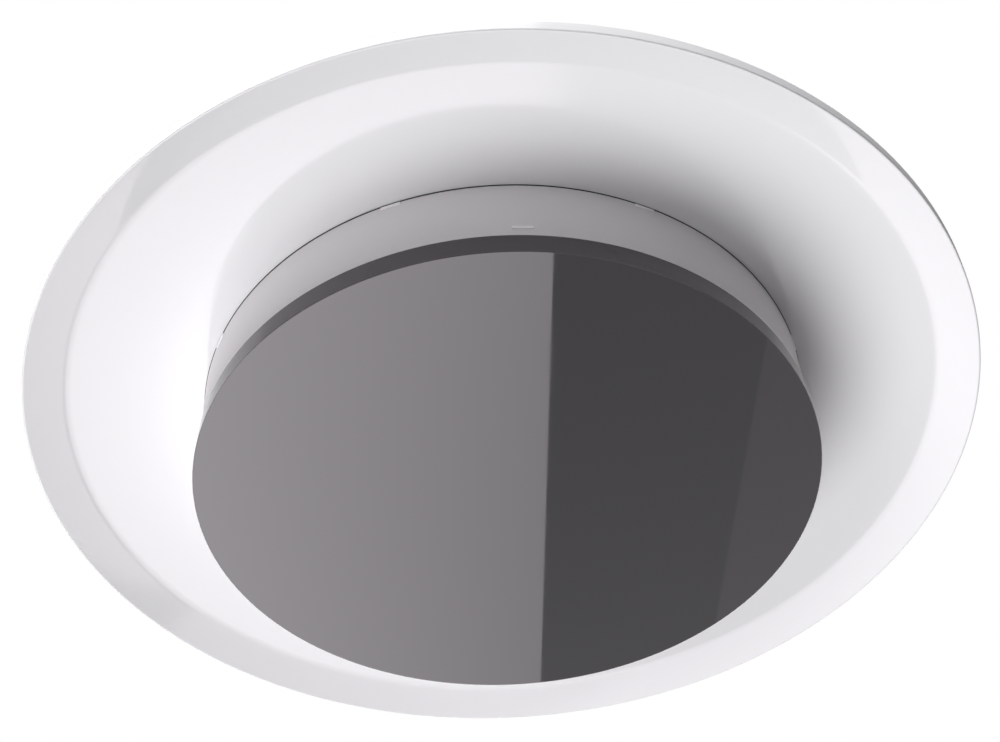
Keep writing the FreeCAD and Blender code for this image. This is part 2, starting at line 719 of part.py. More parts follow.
def driver_board():
    half = DRIVER_LENGTH / 2 - DRIVER_WALL - BOARD_CLEAR
    inset = DRIVER_WALL + BOARD_CLEAR
    back = board_top - DRIVER_BOARD_THICK
    board = block(-half, half, back, board_top, DRIVER_LOW + inset, driver_high - inset)
    foot_x = half - BOARD_FOOT_INSET
    floor = tray_floor + DRIVER_WALL
    return board.multiFuse([rod(BOARD_FOOT, floor, back, side * foot_x, driver_middle) for side in (-1, 1)])


def driver_components():
    """Transformer in the middle of the board, capacitors on its left, choke and bridge on its right."""
    half = TRANSFORMER_LENGTH / 2
    low = driver_middle - TRANSFORMER_WIDTH / 2
    front = board_top + TRANSFORMER_HEIGHT
    solids = [block(-half, half, board_top, front, low, low + TRANSFORMER_WIDTH)]
    for number in range(2):
        x = -half - COMPONENT_GAP - CAPACITOR_RADIUS - number * (2 * CAPACITOR_RADIUS + COMPONENT_GAP)
        solids.append(rod(CAPACITOR_RADIUS, board_top, board_top + CAPACITOR_HEIGHT, x, driver_middle))
    x = half + COMPONENT_GAP + CHOKE_RADIUS
    solids.append(rod(CHOKE_RADIUS, board_top, board_top + CHOKE_HEIGHT, x, driver_middle))
    left = x + CHOKE_RADIUS + COMPONENT_GAP
    low = driver_middle - BRIDGE_WIDTH / 2
    solids.append(
        block(left, left + BRIDGE_LENGTH, board_top, board_top + BRIDGE_HEIGHT, low, low + BRIDGE_WIDTH)
    )
    return Part.makeCompound(solids)


def terminal_block():
    """Three-pole block: supply wires enter from one side, the light's own leads from the other."""
    low = TERMINAL_Z - terminal_half
    high = TERMINAL_Z + terminal_half
    body = block(terminal_left, terminal_right, tray_floor, terminal_front, low, high)
    ear = block(
        TERMINAL_X - TERMINAL_EAR / 2,
        TERMINAL_X + TERMINAL_EAR / 2,
        terminal_ear,
        terminal_ear + TERMINAL_EAR_THICK,
        low - TERMINAL_EAR,
        high + TERMINAL_EAR,
    )
    cuts = []
    for x, seat, z in terminal_screw_seats():
        cuts.append(rod(SMALL_SCREW.shank + PASS_CLEAR, terminal_ear - PASS, seat + PASS, x, z))
    half_contact = CONTACT_WIDTH / 2 + CONTACT_CLEAR
    contact_end = CONTACT_LENGTH / 2 + CONTACT_CLEAR
    for z in pole_heights:
        start = place(terminal_right - SUPPLY_DEPTH, wire_depth, z)
        cuts.append(Part.makeCylinder(SUPPLY_RADIUS, SUPPLY_DEPTH + PASS, start, SIDEWARDS))
        start = place(terminal_left - PASS, wire_depth, z)
        cuts.append(Part.makeCylinder(MAINS_RADIUS + LEAD_CLEAR, LEAD_SOCKET + PASS, start, SIDEWARDS))
        well_back = button_back - BUTTON_TRAVEL - BUTTON_FLOOR
        cuts.append(button_prism(z, well_back, terminal_front + PASS, BUTTON_CLEAR))
        cuts.append(
            block(
                TERMINAL_X - contact_end,
                TERMINAL_X + contact_end,
                contact_back - CONTACT_CLEAR,
                contact_back + CONTACT_THICK + CONTACT_CLEAR,
                z - half_contact,
                z + half_contact,
            )
        )
    return body.fuse(ear).cut(cuts)


def terminal_contacts():
    half = CONTACT_WIDTH / 2
    left = TERMINAL_X - CONTACT_LENGTH / 2
    front = contact_back + CONTACT_THICK
    right = left + CONTACT_LENGTH
    bars = [block(left, right, contact_back, front, z - half, z + half) for z in pole_heights]
    return Part.makeCompound(bars)


def button_prism(z, back, front, clearance):
    """Upright prism on one pole: the button itself, or the well that it travels in."""
    left = TERMINAL_X - BUTTON_LENGTH / 2 - clearance
    right = TERMINAL_X + BUTTON_LENGTH / 2 + clearance
    half = BUTTON_WIDTH / 2 + clearance
    return block(left, right, back, front, z - half, z + half)


def button(z):
    return button_prism(z, button_back, terminal_front + BUTTON_PROUD, 0)


def small_screws(seats):
    return Part.makeCompound([screw(SMALL_SCREW, x, seat, z) for x, seat, z in seats])


def earth_tag():
    """Ring tag under the earth screw, with a barrel that the lead is crimped into."""
    front = earth_seat + TAG_THICK
    half = TAG_NECK / 2
    barrel_top = EARTH_Z - TAG_REACH
    plate = rod(TAG_RADIUS, earth_seat, front, EARTH_X, EARTH_Z)
    neck = block(EARTH_X - half, EARTH_X + half, earth_seat, front, barrel_top - half, EARTH_Z)
    start = place(EARTH_X, wire_depth, barrel_top)
    barrel = Part.makeCylinder(BARREL_RADIUS, BARREL_LENGTH, start, -UPWARDS)
    hole = rod(EARTH_SCREW.shank + PASS_CLEAR, earth_seat - PASS, front + PASS, EARTH_X, EARTH_Z)
    return plate.multiFuse([neck, barrel]).cut(hole)


def earth_washer():
    back = earth_seat + TAG_THICK
    front = back + WASHER_THICK
    washer = rod(WASHER_RADIUS, back, front, EARTH_X, EARTH_Z)
    return washer.cut(rod(EARTH_SCREW.shank + PASS_CLEAR, back - PASS, front + PASS, EARTH_X, EARTH_Z))


def lead(radius, *points):
    """Round lead along straight runs joined by tangent arcs."""
    edges = []
    here = points[0]
    for before, corner, after in zip(points, points[1:], points[2:]):
        trim = LEAD_BEND * min(corner.distanceToPoint(before), corner.distanceToPoint(after))
        back = (before - corner).normalize()
        on = (after - corner).normalize()
        half_turn = (math.pi - back.getAngle(on)) / 2
        bend = trim / math.tan(half_turn)
        middle = corner + (back + on).normalize() * (bend / math.cos(half_turn) - bend)
        arc_start = corner + back * trim
        arc_end = corner + on * trim
        edges.append(Part.LineSegment(here, arc_start).toShape())
        edges.append(Part.Arc(arc_start, middle, arc_end).toShape())
        here = arc_end
    edges.append(Part.LineSegment(here, points[-1]).toShape())
    section = Part.Wire(Part.Circle(points[0], points[1] - points[0], radius).toShape())
    return Part.Wire(edges).makePipeShell([section], True, False)


def mains_lead(x, z):
    """Lead from one pole of the terminal block, along and then up into the driver."""
    start = terminal_left + LEAD_SOCKET
    return lead(
        MAINS_RADIUS,
        place(start, wire_depth, z),
        place(x, wire_depth, z),
        place(x, wire_depth, DRIVER_LOW + DRIVER_WALL),
    )


def earth_lead():
    end = EARTH_Z - TAG_REACH - BARREL_LENGTH
    z = pole_heights[2]
    return lead(
        MAINS_RADIUS,
        place(terminal_left + LEAD_SOCKET, wire_depth, z),
        place(EARTH_X, wire_depth, z),
        place(EARTH_X, wire_depth, end),
    )


def led_lead(x, depth):
    """Lead from the driver, forward inside the carrier and out through its wall to the connector."""
    across, up = around(1.0, CONNECTOR_AZIMUTH)
    z = x * up / across
    output = tray_floor + OUTPUT_LIFT
    return lead(
        LED_LEAD_RADIUS,
        place(x, output, DRIVER_LOW + DRIVER_WALL),
        place(x, output, z),
        place(x, depth, z),
        place(board_radius * across, depth, board_radius * up),
    )


def drum_seal():
    """Seal under the drum's foot, with a running gap to the drum."""
    return ring(drum_inner + SEAL_CLEAR, DRUM_RADIUS - SEAL_INSET, floor_front, drum_back - SEAL_CLEAR)


def front_cap():
    """Flat cap with a drafted skirt, a rib over the seal and posts for the clips."""
    skirt_inner = cap_radius - CAP_SKIRT
    cap = turned(
        (0, cap_front),
        (cap_radius + CAP_DRAFT, cap_front),
        (cap_radius, cap_back),
        (skirt_inner, cap_back),
        (skirt_inner, cap_inside),
        (0, cap_inside),
    )
    cap = rounded(cap, cap_radius + CAP_DRAFT, cap_front, CAP_ROUND)
    rib_middle = cap_seal_inner + SEAL_WIDTH / 2
    solids = [ring(rib_middle - CAP_RIB / 2, rib_middle + CAP_RIB / 2, cap_back, cap_inside + ROOT)]
    cuts = []
    for azimuth in clip_azimuths:
        x, z = around(clip_post_circle, azimuth)
        solids.append(rod(CLIP_POST_RADIUS, clip_seat, cap_inside + ROOT, x, z))
        depth = clip_screw_seat + CLIP_SCREW.length + THREAD_CLEAR
        cuts.append(rod(CLIP_SCREW.shank + THREAD_CLEAR, clip_seat - PASS, depth, x, z))
    return cap.multiFuse(solids).cut(cuts)


def cap_reflector():
    """White sheet on the cap's back, with holes round the posts."""
    edge = flange_bore - CLIP_GAP
    sheet = rod(edge, cap_inside - REFLECTOR_SHEET, cap_inside)
    posts = []
    for azimuth in clip_azimuths:
        x, z = around(clip_post_circle, azimuth)
        posts.append(rod(CLIP_POST_RADIUS + REFLECTOR_GAP, clip_seat - PASS, cap_inside + PASS, x, z))
    return sheet.cut(posts)


def cap_clips():
    """Bent spring clips: a foot on the cap's post and a leg through the drum's flange."""
    foot_start = clip_outer - CLIP_SHEET - CLIP_BASE
    section = outline(
        (foot_start, clip_seat),
        (clip_outer, clip_seat),
        (clip_outer, clip_seat - CLIP_LEG),
        (clip_outer - CLIP_SHEET, clip_seat - CLIP_LEG),
        (clip_outer - CLIP_SHEET, clip_screw_seat),
        (foot_start, clip_screw_seat),
    )
    clip = section.extrude(Vector(CLIP_WIDTH, 0, 0))
    clip.translate(Vector(-CLIP_WIDTH / 2, 0, 0))
    hole = rod(CLIP_SCREW.shank + PASS_CLEAR, clip_screw_seat - PASS, clip_seat + PASS, 0, clip_post_circle)
    clip = clip.cut(hole)
    return Part.makeCompound([facing(clip, azimuth) for azimuth in clip_azimuths])


def main():
    plus_depth, minus_depth = led_lead_depths()
    live, neutral, earth = pole_heights
    pieces = {
        "base_tray": base_tray(),
        "wall_seal": seal_ring(wall_seal_inner, 0, SEAL_DEPTH),
        "cable_grommet": cable_grommet(),
        "dish_seal": seal_ring(dish_seal_inner, floor_back - SEAL_DEPTH, floor_back),
        "reflector_dish": reflector_dish(),
        "bayonet_ring": bayonet_ring(),
        "ring_screws": screws_around(RING_SCREW, screw_circle, ring_front, boss_azimuths),
        "drum_seal": drum_seal(),
        "led_carrier": led_carrier(),
        "carrier_screws": screws_around(CARRIER_SCREW, screw_circle, carrier_seat, ear_azimuths),
        "led_board": led_board(),
        "led_packages": led_packages(),
        "led_connector": led_connector(),
        "driver_case": driver_case(),
        "driver_lid": driver_lid(),
        "driver_board": driver_board(),
        "driver_components": driver_components(),
        "driver_screws": small_screws(driver_screw_seats()),
        "terminal_block": terminal_block(),
        "terminal_contacts": terminal_contacts(),
        "terminal_screws": small_screws(terminal_screw_seats()),
        "button_live": button(live),
        "button_neutral": button(neutral),
        "button_earth": button(earth),
        "earth_screw": screw(EARTH_SCREW, EARTH_X, earth_screw_seat, EARTH_Z),
        "earth_washer": earth_washer(),
        "earth_tag": earth_tag(),
        "live_lead": mains_lead(LIVE_X, live),
        "neutral_lead": mains_lead(NEUTRAL_X, neutral),
        "earth_lead": earth_lead(),
        "led_lead_plus": led_lead(PLUS_X, plus_depth),
        "led_lead_minus": led_lead(MINUS_X, minus_depth),
        "diffuser_drum": diffuser_drum(),
        "cap_seal": seal_ring(cap_seal_inner, drum_front - SEAL_DEPTH, drum_front),
        "front_cap": front_cap(),
        "cap_reflector": cap_reflector(),
        "cap_clips": cap_clips(),
        "clip_screws": screws_around(CLIP_SCREW, clip_post_circle, clip_screw_seat, clip_azimuths, True),
    }
    os.makedirs("parts", exist_ok=True)
    for name, shape in pieces.items():
        shape.exportStep(f"parts/{name}.step")


main()
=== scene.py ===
import json
import math
from typing import NamedTuple

import bpy
from bpy.props import FloatProperty, FloatVectorProperty, IntProperty, PointerProperty
from mathutils import Euler, Matrix, Vector


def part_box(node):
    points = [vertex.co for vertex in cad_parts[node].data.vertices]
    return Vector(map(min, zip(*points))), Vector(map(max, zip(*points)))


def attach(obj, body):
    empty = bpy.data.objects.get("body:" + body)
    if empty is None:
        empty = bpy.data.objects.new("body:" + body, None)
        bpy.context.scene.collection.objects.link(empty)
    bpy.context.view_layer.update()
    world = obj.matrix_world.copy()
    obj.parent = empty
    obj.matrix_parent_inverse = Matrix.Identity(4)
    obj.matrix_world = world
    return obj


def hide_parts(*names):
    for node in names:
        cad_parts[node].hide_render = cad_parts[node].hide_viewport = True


bl_info = {
    "name": "Round wall light",
    "version": (1, 0, 0),
    "blender": (4, 5, 0),
    "location": "3D View > Sidebar > Wall light",
    "description": "Models the pieces of a round wall light, gives each its finish and sets the stage",
    "category": "Object",
}

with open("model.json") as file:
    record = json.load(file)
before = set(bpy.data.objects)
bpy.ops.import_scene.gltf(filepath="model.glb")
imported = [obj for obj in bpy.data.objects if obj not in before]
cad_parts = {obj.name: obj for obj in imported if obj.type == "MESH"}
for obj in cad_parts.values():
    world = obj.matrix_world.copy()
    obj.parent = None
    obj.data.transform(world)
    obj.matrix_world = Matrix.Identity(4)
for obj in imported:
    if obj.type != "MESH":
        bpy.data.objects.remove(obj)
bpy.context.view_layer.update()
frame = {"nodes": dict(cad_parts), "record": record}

# The light backs onto the wall plane Y = 0 and faces the room along -Y, with +Z up. Depths run from the wall
# into the room, and azimuths run clockwise from the top, as seen from the room.
MM = 0.001
WELD = 1e-6  # corners nearer than this are one corner
NEAR = 10 * WELD  # how far off a circle a corner may lie and still count as on it
TURN_STEPS = 256  # flats round a turned piece
PEG_SIDES = 48  # flats round a thin round bar
WIDE_SIDES = 96  # flats round a wide one
SWEEP_STEPS = 14  # flats along the dish's gentle hollow
FILLET_STEPS = 10  # flats where the hollow turns up into the lip
FOOT_STEPS = 6  # flats round the tray's foot
SHARP = math.radians(35)  # edges that bend more than this are rounded
SMOOTH = math.radians(50)  # edges that bend less than this are shaded smooth
SQUARE = 0.99  # a face looks along an axis if its normal has at least this much of it
CUT = 1 * MM  # how far a cut runs past the faces that it goes through
SCREW_COUNT = 4  # screws that hold the bayonet ring, and as many that hold the LED carrier


def reach(node):
    """Outer radius of a round node, and its depths at the back and at the front."""
    low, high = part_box(node)
    return high.x, -high.y, -low.y


DISH_RADIUS, DISH_BACK, DISH_FRONT = reach("reflector_dish")
_, DRUM_BACK, DRUM_FRONT = reach("diffuser_drum")
_, CAP_BACK, CAP_FRONT = reach("front_cap")
TRAY_REACH, _, TRAY_FRONT = reach("base_tray")
_, CARRIER_BACK, CARRIER_FRONT = reach("led_carrier")
GROMMET_REACH, GROMMET_BACK, GROMMET_FRONT = reach("cable_grommet")
_, STRIP_BACK, STRIP_FRONT = reach("led_board")

BODY_OF = {node: body for body, nodes in frame["record"]["behaviour"]["bodies"].items() for node in nodes}
SLOT_OF = {part["node"]: part["material_slot"] for part in frame["record"]["subparts"]}


# Settings that a user would change


def linear(code):
    """Linear colour from an sRGB hex code such as #F0EFF1."""
    channels = [int(code[start : start + 2], 16) / 255 for start in (1, 3, 5)]
    return [c / 12.92 if c <= 0.04045 else ((c + 0.055) / 1.055) ** 2.4 for c in channels]


def length(name, description, size):
    """Length with its default in millimetres."""
    return FloatProperty(name=name, description=description, default=size * MM, unit="LENGTH", precision=5)


def angle(name, description, degrees):
    return FloatProperty(name=name, description=description, default=math.radians(degrees), subtype="ANGLE")


def colour(name, description, code):
    return FloatVectorProperty(name=name, description=description, default=linear(code), subtype="COLOR")


class DishSizes(bpy.types.PropertyGroup):
    rim_radius: length("Rim radius", "Outer edge of the light", DISH_RADIUS / MM)
    rim_depth: length("Rim depth", "Wall to the rim's front edge", DISH_FRONT / MM)
    rim_wall: length("Rim wall", "Depth of the turned-back rim", 4.4)
    rim_round: length("Rim rounding", "Rounding of the rim's front edge", 0.8)
    edge_round: length("Edge rounding", "Rounding of the sheet's other edges", 0.3)
    sheet: length("Sheet", "Thickness of the spun sheet", 1.5)
    hole_radius: length("Hole radius", "Hole that the tray's flange closes", 83.8)
    level_radius: length("Level radius", "Where the level floor round the drum ends", 96.1)
    sweep: length("Floor sweep", "Radius of the floor's gentle hollow", 440)
    lip_fillet: length("Lip fillet", "Radius where the floor turns up into the lip", 10)
    lip_angle: angle("Lip angle", "Slope of the lip inside the rim", 23)


class DrumSizes(bpy.types.PropertyGroup):
    radius: length("Radius", "Outside of the drum's wall", 95.1)
    wall: length("Wall", "Thickness of the wall and the flange", 2.5)
    foot_depth: length("Foot depth", "Wall plane to the drum's foot, just off the seal", 27.6)
    flange: length("Flange", "Width of the inward flange that the cap seats on", 13)
    groove_radius: length("Groove radius", "Inner side of the seal's groove", 88.4)
    groove_width: length("Groove width", "Width of the seals' grooves", 2.6)
    groove_depth: length("Groove depth", "Depth of the seals' grooves", 1.3)
    edge_round: length("Edge rounding", "Rounding of the moulded edges", 0.15)
    index_azimuth: angle("Index azimuth", "Where the single bar stands", 5.1)
    lug_count: IntProperty(name="Lugs", description="Bayonet lugs, each with a bar outside", default=8, min=1)
    bar_width: length("Bar width", "Width of the small bars outside", 6)
    bar_height: length("Bar height", "Height of the bars along the wall", 1.0)
    bar_proud: length("Bar relief", "How far the bars stand out", 0.25)
    bar_lift: length("Bar lift", "Drum's foot to the bars beside it", 0.2)
    index_drop: length("Index drop", "Drum's front edge to the single bar", 3.6)
    bar_root: length("Root", "How deep bars and lugs are rooted in the wall", 0.6)
    lug_width: length("Lug width", "Width of the lugs inside", 7.2)
    lug_thick: length("Lug thickness", "Thickness of the lugs", 2)
    lug_lift: length("Lug lift", "Drum's foot to the lugs", 1.9)
    lug_radius: length("Lug radius", "Inner end of the lugs", 89.6)


class CapSizes(bpy.types.PropertyGroup):
    radius: length("Radius", "Cap's front edge", 96.2)
    draft: length("Draft", "How much narrower the cap is at its back", 0.3)
    face: length("Face", "Thickness of the face", 3)
    skirt: length("Skirt", "Thickness of the skirt", 2.5)
    edge_round: length("Edge rounding", "Rounding of the polished edges", 0.15)
    rib_radius: length("Rib radius", "Middle of the rib that presses the seal", 89.7)
    rib_width: length("Rib width", "Width of that rib", 3.5)
    post_count: IntProperty(name="Posts", description="Posts that carry the clips", default=4, min=1)
    post_circle: length("Post circle", "Axis to the posts", 73.3)
    post_radius: length("Post radius", "Radius of the posts", 4)
    post_height: length("Post height", "Height of the posts", 2)
    post_bore: length("Post bore", "Radius of the screw holes in the posts", 1.15)


class TraySizes(bpy.types.PropertyGroup):
    outer: length("Outer radius", "Outside of the tray's wall", 87.5)
    wall: length("Wall", "Thickness of the wall", 3)
    floor: length("Floor", "Thickness of the floor", 2.5)
    recess: length("Recess", "Hollow behind the floor", 2.5)
    recess_radius: length("Recess radius", "Inside of the ring that meets the wall", 80)
    foot_round: length("Foot rounding", "Rounding of the foot's outer edge", 2)
    flange: length("Flange", "Thickness of the flange under the dish", 3)
    wall_groove: length("Wall groove", "Inner side of the groove against the wall", 81.6)
    dish_groove: length("Dish groove", "Inner side of the groove under the dish", 86.1)
    edge_round: length("Edge rounding", "Rounding of the cast edges", 0.5)
    rib_count: IntProperty(name="Ribs", description="Ribs behind the floor", default=6, min=0)
    rib_width: length("Rib width", "Thickness of the ribs", 2)
    rib_short: length("Rib gap", "Wall to the ribs", 0.6)
    rib_start: length("Rib start", "Axis to the ribs' inner ends", 13)
    root: length("Root", "How deep ribs and bosses are rooted", 0.5)
    bolt_spacing: length("Bolt spacing", "Between the two fixing slots", 84)
    slot_length: length("Slot length", "Length of a fixing slot", 12)
    slot_radius: length("Slot radius", "Half the width of a fixing slot", 2.75)
    pad_margin: length("Pad margin", "Pad round a fixing slot", 4)
    cable_hole: length("Cable hole", "Radius of the grommet's hole", 8)
    boss_circle: length("Boss circle", "Axis to the four large bosses", 79.3)
    boss_radius: length("Boss radius", "Radius of the large bosses", 4)
    boss_bore: length("Boss bore", "Radius of their screw holes", 1.8)
    boss_depth: length("Boss hole", "Depth of their screw holes", 12.05)
    web_width: length("Web", "Thickness of the webs behind the bosses", 3)
    web_drop: length("Web drop", "Dish's back to the webs", 3)
    small_boss: length("Small boss", "Radius of the bosses under the gear", 2.9)
    small_bore: length("Small bore", "Radius of their screw holes", 1.3)
    earth_boss: length("Earth boss", "Radius of the earth point's boss", 4.5)


class GearSizes(bpy.types.PropertyGroup):
    carrier_radius: length("Carrier radius", "Outside of the carrier's wall", 70)
    carrier_sheet: length("Carrier sheet", "Thickness of the pressed sheet", 1.5)
    carrier_flange: length("Carrier flange", "Outer edge of the carrier's foot", 75.8)
    carrier_round: length("Carrier bend", "Bend at the carrier's edges", 0.7)
    ear_circle: length("Ear circle", "Axis to the carrier's screws", 79.3)
    ear_radius: length("Ear radius", "Rounding of the ears", 4.2)
    ear_bore: length("Ear bore", "Radius of the holes in the ears", 1.7)
    led_count: IntProperty(name="LEDs", description="LEDs along the strip", default=48, min=1)
    led_width: length("LED width", "Width of an LED round the strip", 2.8)
    led_length: length("LED length", "Length of an LED across the strip", 3.5)
    led_thick: length("LED thickness", "Height of an LED above the strip", 0.8)
    led_radius: length("LED radius", "Axis to the LEDs' backs", 70.95)
    led_frame: length("LED frame", "White edge round the phosphor", 0.45)
    strip_gap: angle("Strip gap", "Part of the circle that the strip leaves open", 12)
    connector_azimuth: angle("Connector azimuth", "Where the strip's ends meet", 80)


class Finishes(bpy.types.PropertyGroup):
    dish: colour("Dish", "Gloss lacquer", "#F0EFF1")
    drum: colour("Drum", "Opal acrylic", "#E0DDDF")
    cap: colour("Cap", "Dark acrylic", "#130B14")
    tray: colour("Tray", "Powder coat", "#E4E3E5")
    rubber: colour("Rubber", "Seals and grommet", "#343335")
    plastic: colour("Plastic", "Moulded white plastic", "#E2E1DC")


class StageSettings(bpy.types.PropertyGroup):
    camera_place: FloatVectorProperty(
        name="Camera place",
        description="Where the camera stands",
        default=(-0.0003, -0.4124, 0.3826),
        subtype="TRANSLATION",
    )
    camera_tilt: angle("Camera tilt", "How far the camera looks up from straight down", 46.98)
    camera_roll: angle("Camera roll", "How far the camera leans", -3.64)
    lens: FloatProperty(name="Lens", description="Focal length in millimetres", default=60.83, min=1)
    floor_drop: length("Floor", "Light's axis to the floor", 5500)
    fill: FloatProperty(name="Fill", description="Strength of the even light all round", default=0.08, min=0)
    lamp_tint: colour("Lamp tint", "Colour of the lamps", "#FEFEFF")
    card_tint: colour("Card tint", "Colour of the cards", "#FFFAFF")


class WallLight(bpy.types.PropertyGroup):
    dish: PointerProperty(type=DishSizes)
    drum: PointerProperty(type=DrumSizes)
    cap: PointerProperty(type=CapSizes)
    tray: PointerProperty(type=TraySizes)
    gear: PointerProperty(type=GearSizes)
    finishes: PointerProperty(type=Finishes)
    stage: PointerProperty(type=StageSettings)


# Modelling steps


def only(piece):
    """Makes one object the only one selected."""
    bpy.ops.object.select_all(action="DESELECT")
    piece.select_set(True)
    bpy.context.view_layer.objects.active = piece


def settle(piece):
    """Puts an object's place, turn and size into its mesh."""
    only(piece)
    bpy.ops.object.transform_apply(location=True, rotation=True, scale=True)
    return piece


def turn(name, outline):
    """Turned piece: a closed outline of (radius, depth) corners, drawn corner by corner and spun."""
    radius, depth = outline[0]
    bpy.ops.mesh.primitive_plane_add(size=MM, location=(0, -depth, radius))
    piece = settle(bpy.context.object)
    piece.name = name
    bpy.ops.object.mode_set(mode="EDIT")
    bpy.ops.mesh.select_mode(type="VERT")
    bpy.ops.mesh.select_all(action="SELECT")
    bpy.ops.mesh.merge(type="CENTER")
    for (radius, depth), (next_radius, next_depth) in zip(outline, outline[1:] + outline[:1]):
        step = (0, depth - next_depth, next_radius - radius)
        bpy.ops.mesh.extrude_region_move(TRANSFORM_OT_translate={"value": step})
    bpy.ops.mesh.select_all(action="SELECT")
    bpy.ops.mesh.remove_doubles(threshold=WELD)
    bpy.ops.mesh.spin(steps=TURN_STEPS, angle=math.tau, center=(0, 0, 0), axis=(0, 1, 0))
    bpy.ops.mesh.select_all(action="SELECT")
    bpy.ops.mesh.remove_doubles(threshold=WELD)
    bpy.ops.mesh.delete_loose()
    bpy.ops.mesh.select_all(action="SELECT")
    bpy.ops.mesh.normals_make_consistent(inside=False)
    bpy.ops.object.mode_set(mode="OBJECT")
    return piece


def arc(centre, start, end, count):
    """Points of an outline from start to end about a centre, both ends included."""
    first = math.atan2(start[1] - centre[1], start[0] - centre[0])
    last = math.atan2(end[1] - centre[1], end[0] - centre[0])
    radius = math.dist(centre, start)
    angles = [first + (last - first) * step / count for step in range(count + 1)]
    return [(centre[0] + radius * math.cos(a), centre[1] + radius * math.sin(a)) for a in angles]


def block(left, right, back, front, low, high):
    """Box between two sides, two depths and two heights."""
    middle = ((left + right) / 2, -(back + front) / 2, (low + high) / 2)
    size = (right - left, front - back, high - low)
    bpy.ops.mesh.primitive_cube_add(size=1, location=middle, scale=size)
    return settle(bpy.context.object)


def peg(radius, back, front, x=0.0, z=0.0, sides=PEG_SIDES):
    """Round bar that runs from one depth to another."""
    bpy.ops.mesh.primitive_cylinder_add(
        vertices=sides,
        radius=radius,
        depth=front - back,
        location=(x, -(back + front) / 2, z),
        rotation=(math.pi / 2, 0, 0),
    )
    return settle(bpy.context.object)


def pick(piece, kind, chosen):
    """Goes into edit mode with only those corners, edges or faces selected that pass a test."""
    only(piece)
    bpy.ops.object.mode_set(mode="EDIT")
    bpy.ops.mesh.select_mode(type=kind)
    bpy.ops.mesh.select_all(action="DESELECT")
    bpy.ops.object.mode_set(mode="OBJECT")
    mesh = piece.data
    for element in {"VERT": mesh.vertices, "EDGE": mesh.edges, "FACE": mesh.polygons}[kind]:
        element.select = chosen(element)
    bpy.ops.object.mode_set(mode="EDIT")


def bore(piece, radius, hole_radius, depth, towards):
    """Sinks a blind hole into the round end face that looks a given way along Y."""
    pick(piece, "FACE", lambda face: face.normal.y * towards > SQUARE)
    bpy.ops.mesh.inset(thickness=radius - hole_radius)
    bpy.ops.mesh.extrude_region_move(TRANSFORM_OT_translate={"value": (0, -towards * depth, 0)})
    bpy.ops.object.mode_set(mode="OBJECT")
    return piece


def copies(piece, azimuths):
    """Copies, at several azimuths, of a piece made at the top of the light, in place of the piece itself."""
    made = []
    for azimuth in azimuths:
        copy = piece.copy()
        copy.data = piece.data.copy()
        bpy.context.scene.collection.objects.link(copy)
        copy.matrix_world = Matrix.Rotation(azimuth, 4, "Y") @ copy.matrix_world
        made.append(settle(copy))
    bpy.data.objects.remove(piece)
    return made


def evenly(count, first=0.0):
    return [first + number * math.tau / count for number in range(count)]


def joined(pieces):
    """Several objects made one."""
    only(pieces[0])
    for piece in pieces[1:]:
        piece.select_set(True)
    if len(pieces) > 1:
        bpy.ops.object.join()
    return pieces[0]


def modified(piece, kind, **settings):
    """Gives a piece a modifier with its settings, and applies it."""
    only(piece)
    bpy.ops.object.modifier_add(type=kind)
    modifier = piece.modifiers[-1]
    for name, value in settings.items():
        setattr(modifier, name, value)
    bpy.ops.object.modifier_apply(modifier=modifier.name)
    return piece


def combine(piece, others, operation):
    """Adds other shapes to a piece (UNION) or cuts them out of it (DIFFERENCE)."""
    tool = joined(others)
    modified(piece, "BOOLEAN", operation=operation, solver="EXACT", object=tool, material_mode="TRANSFER")
    bpy.data.objects.remove(tool)


def rounded(piece, width, segments=3):
    """Rounds every sharp edge."""
    limit = {"limit_method": "ANGLE", "angle_limit": SHARP}
    return modified(piece, "BEVEL", width=width, segments=segments, **limit)


def round_edge(piece, radius, depth, width):
    """Rounds one circular edge of a turned piece."""

    def on_circle(index):
        x, y, z = piece.data.vertices[index].co
        return abs(y + depth) < NEAR and abs(math.hypot(x, z) - radius) < NEAR

    pick(piece, "EDGE", lambda edge: all(on_circle(index) for index in edge.vertices))
    bpy.ops.mesh.bevel(offset=width, segments=4, affect="EDGES")
    bpy.ops.object.mode_set(mode="OBJECT")


def smooth(piece):
    """Smooth shading in which the larger faces set the normals, so that flats stay flat beside roundings."""
    only(piece)
    bpy.ops.object.shade_smooth_by_angle(angle=SMOOTH)
    modified(piece, "WEIGHTED_NORMAL", keep_sharp=True)


def stand_for(piece, node):
    """Finished piece takes the place, the motion and the finish of its solid."""
    smooth(piece)
    piece.name = f"{node}_made"
    if not piece.data.materials or piece.data.materials[0] is None:
        wear(piece, finish(SLOT_OF[node]))
    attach(piece, BODY_OF[node])
    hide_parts(node)


def wear(piece, material):
    """Gives all of a piece one material."""
    piece.data.materials.clear()
    piece.data.materials.append(material)
    return piece


# Dish, drum, cap and seals


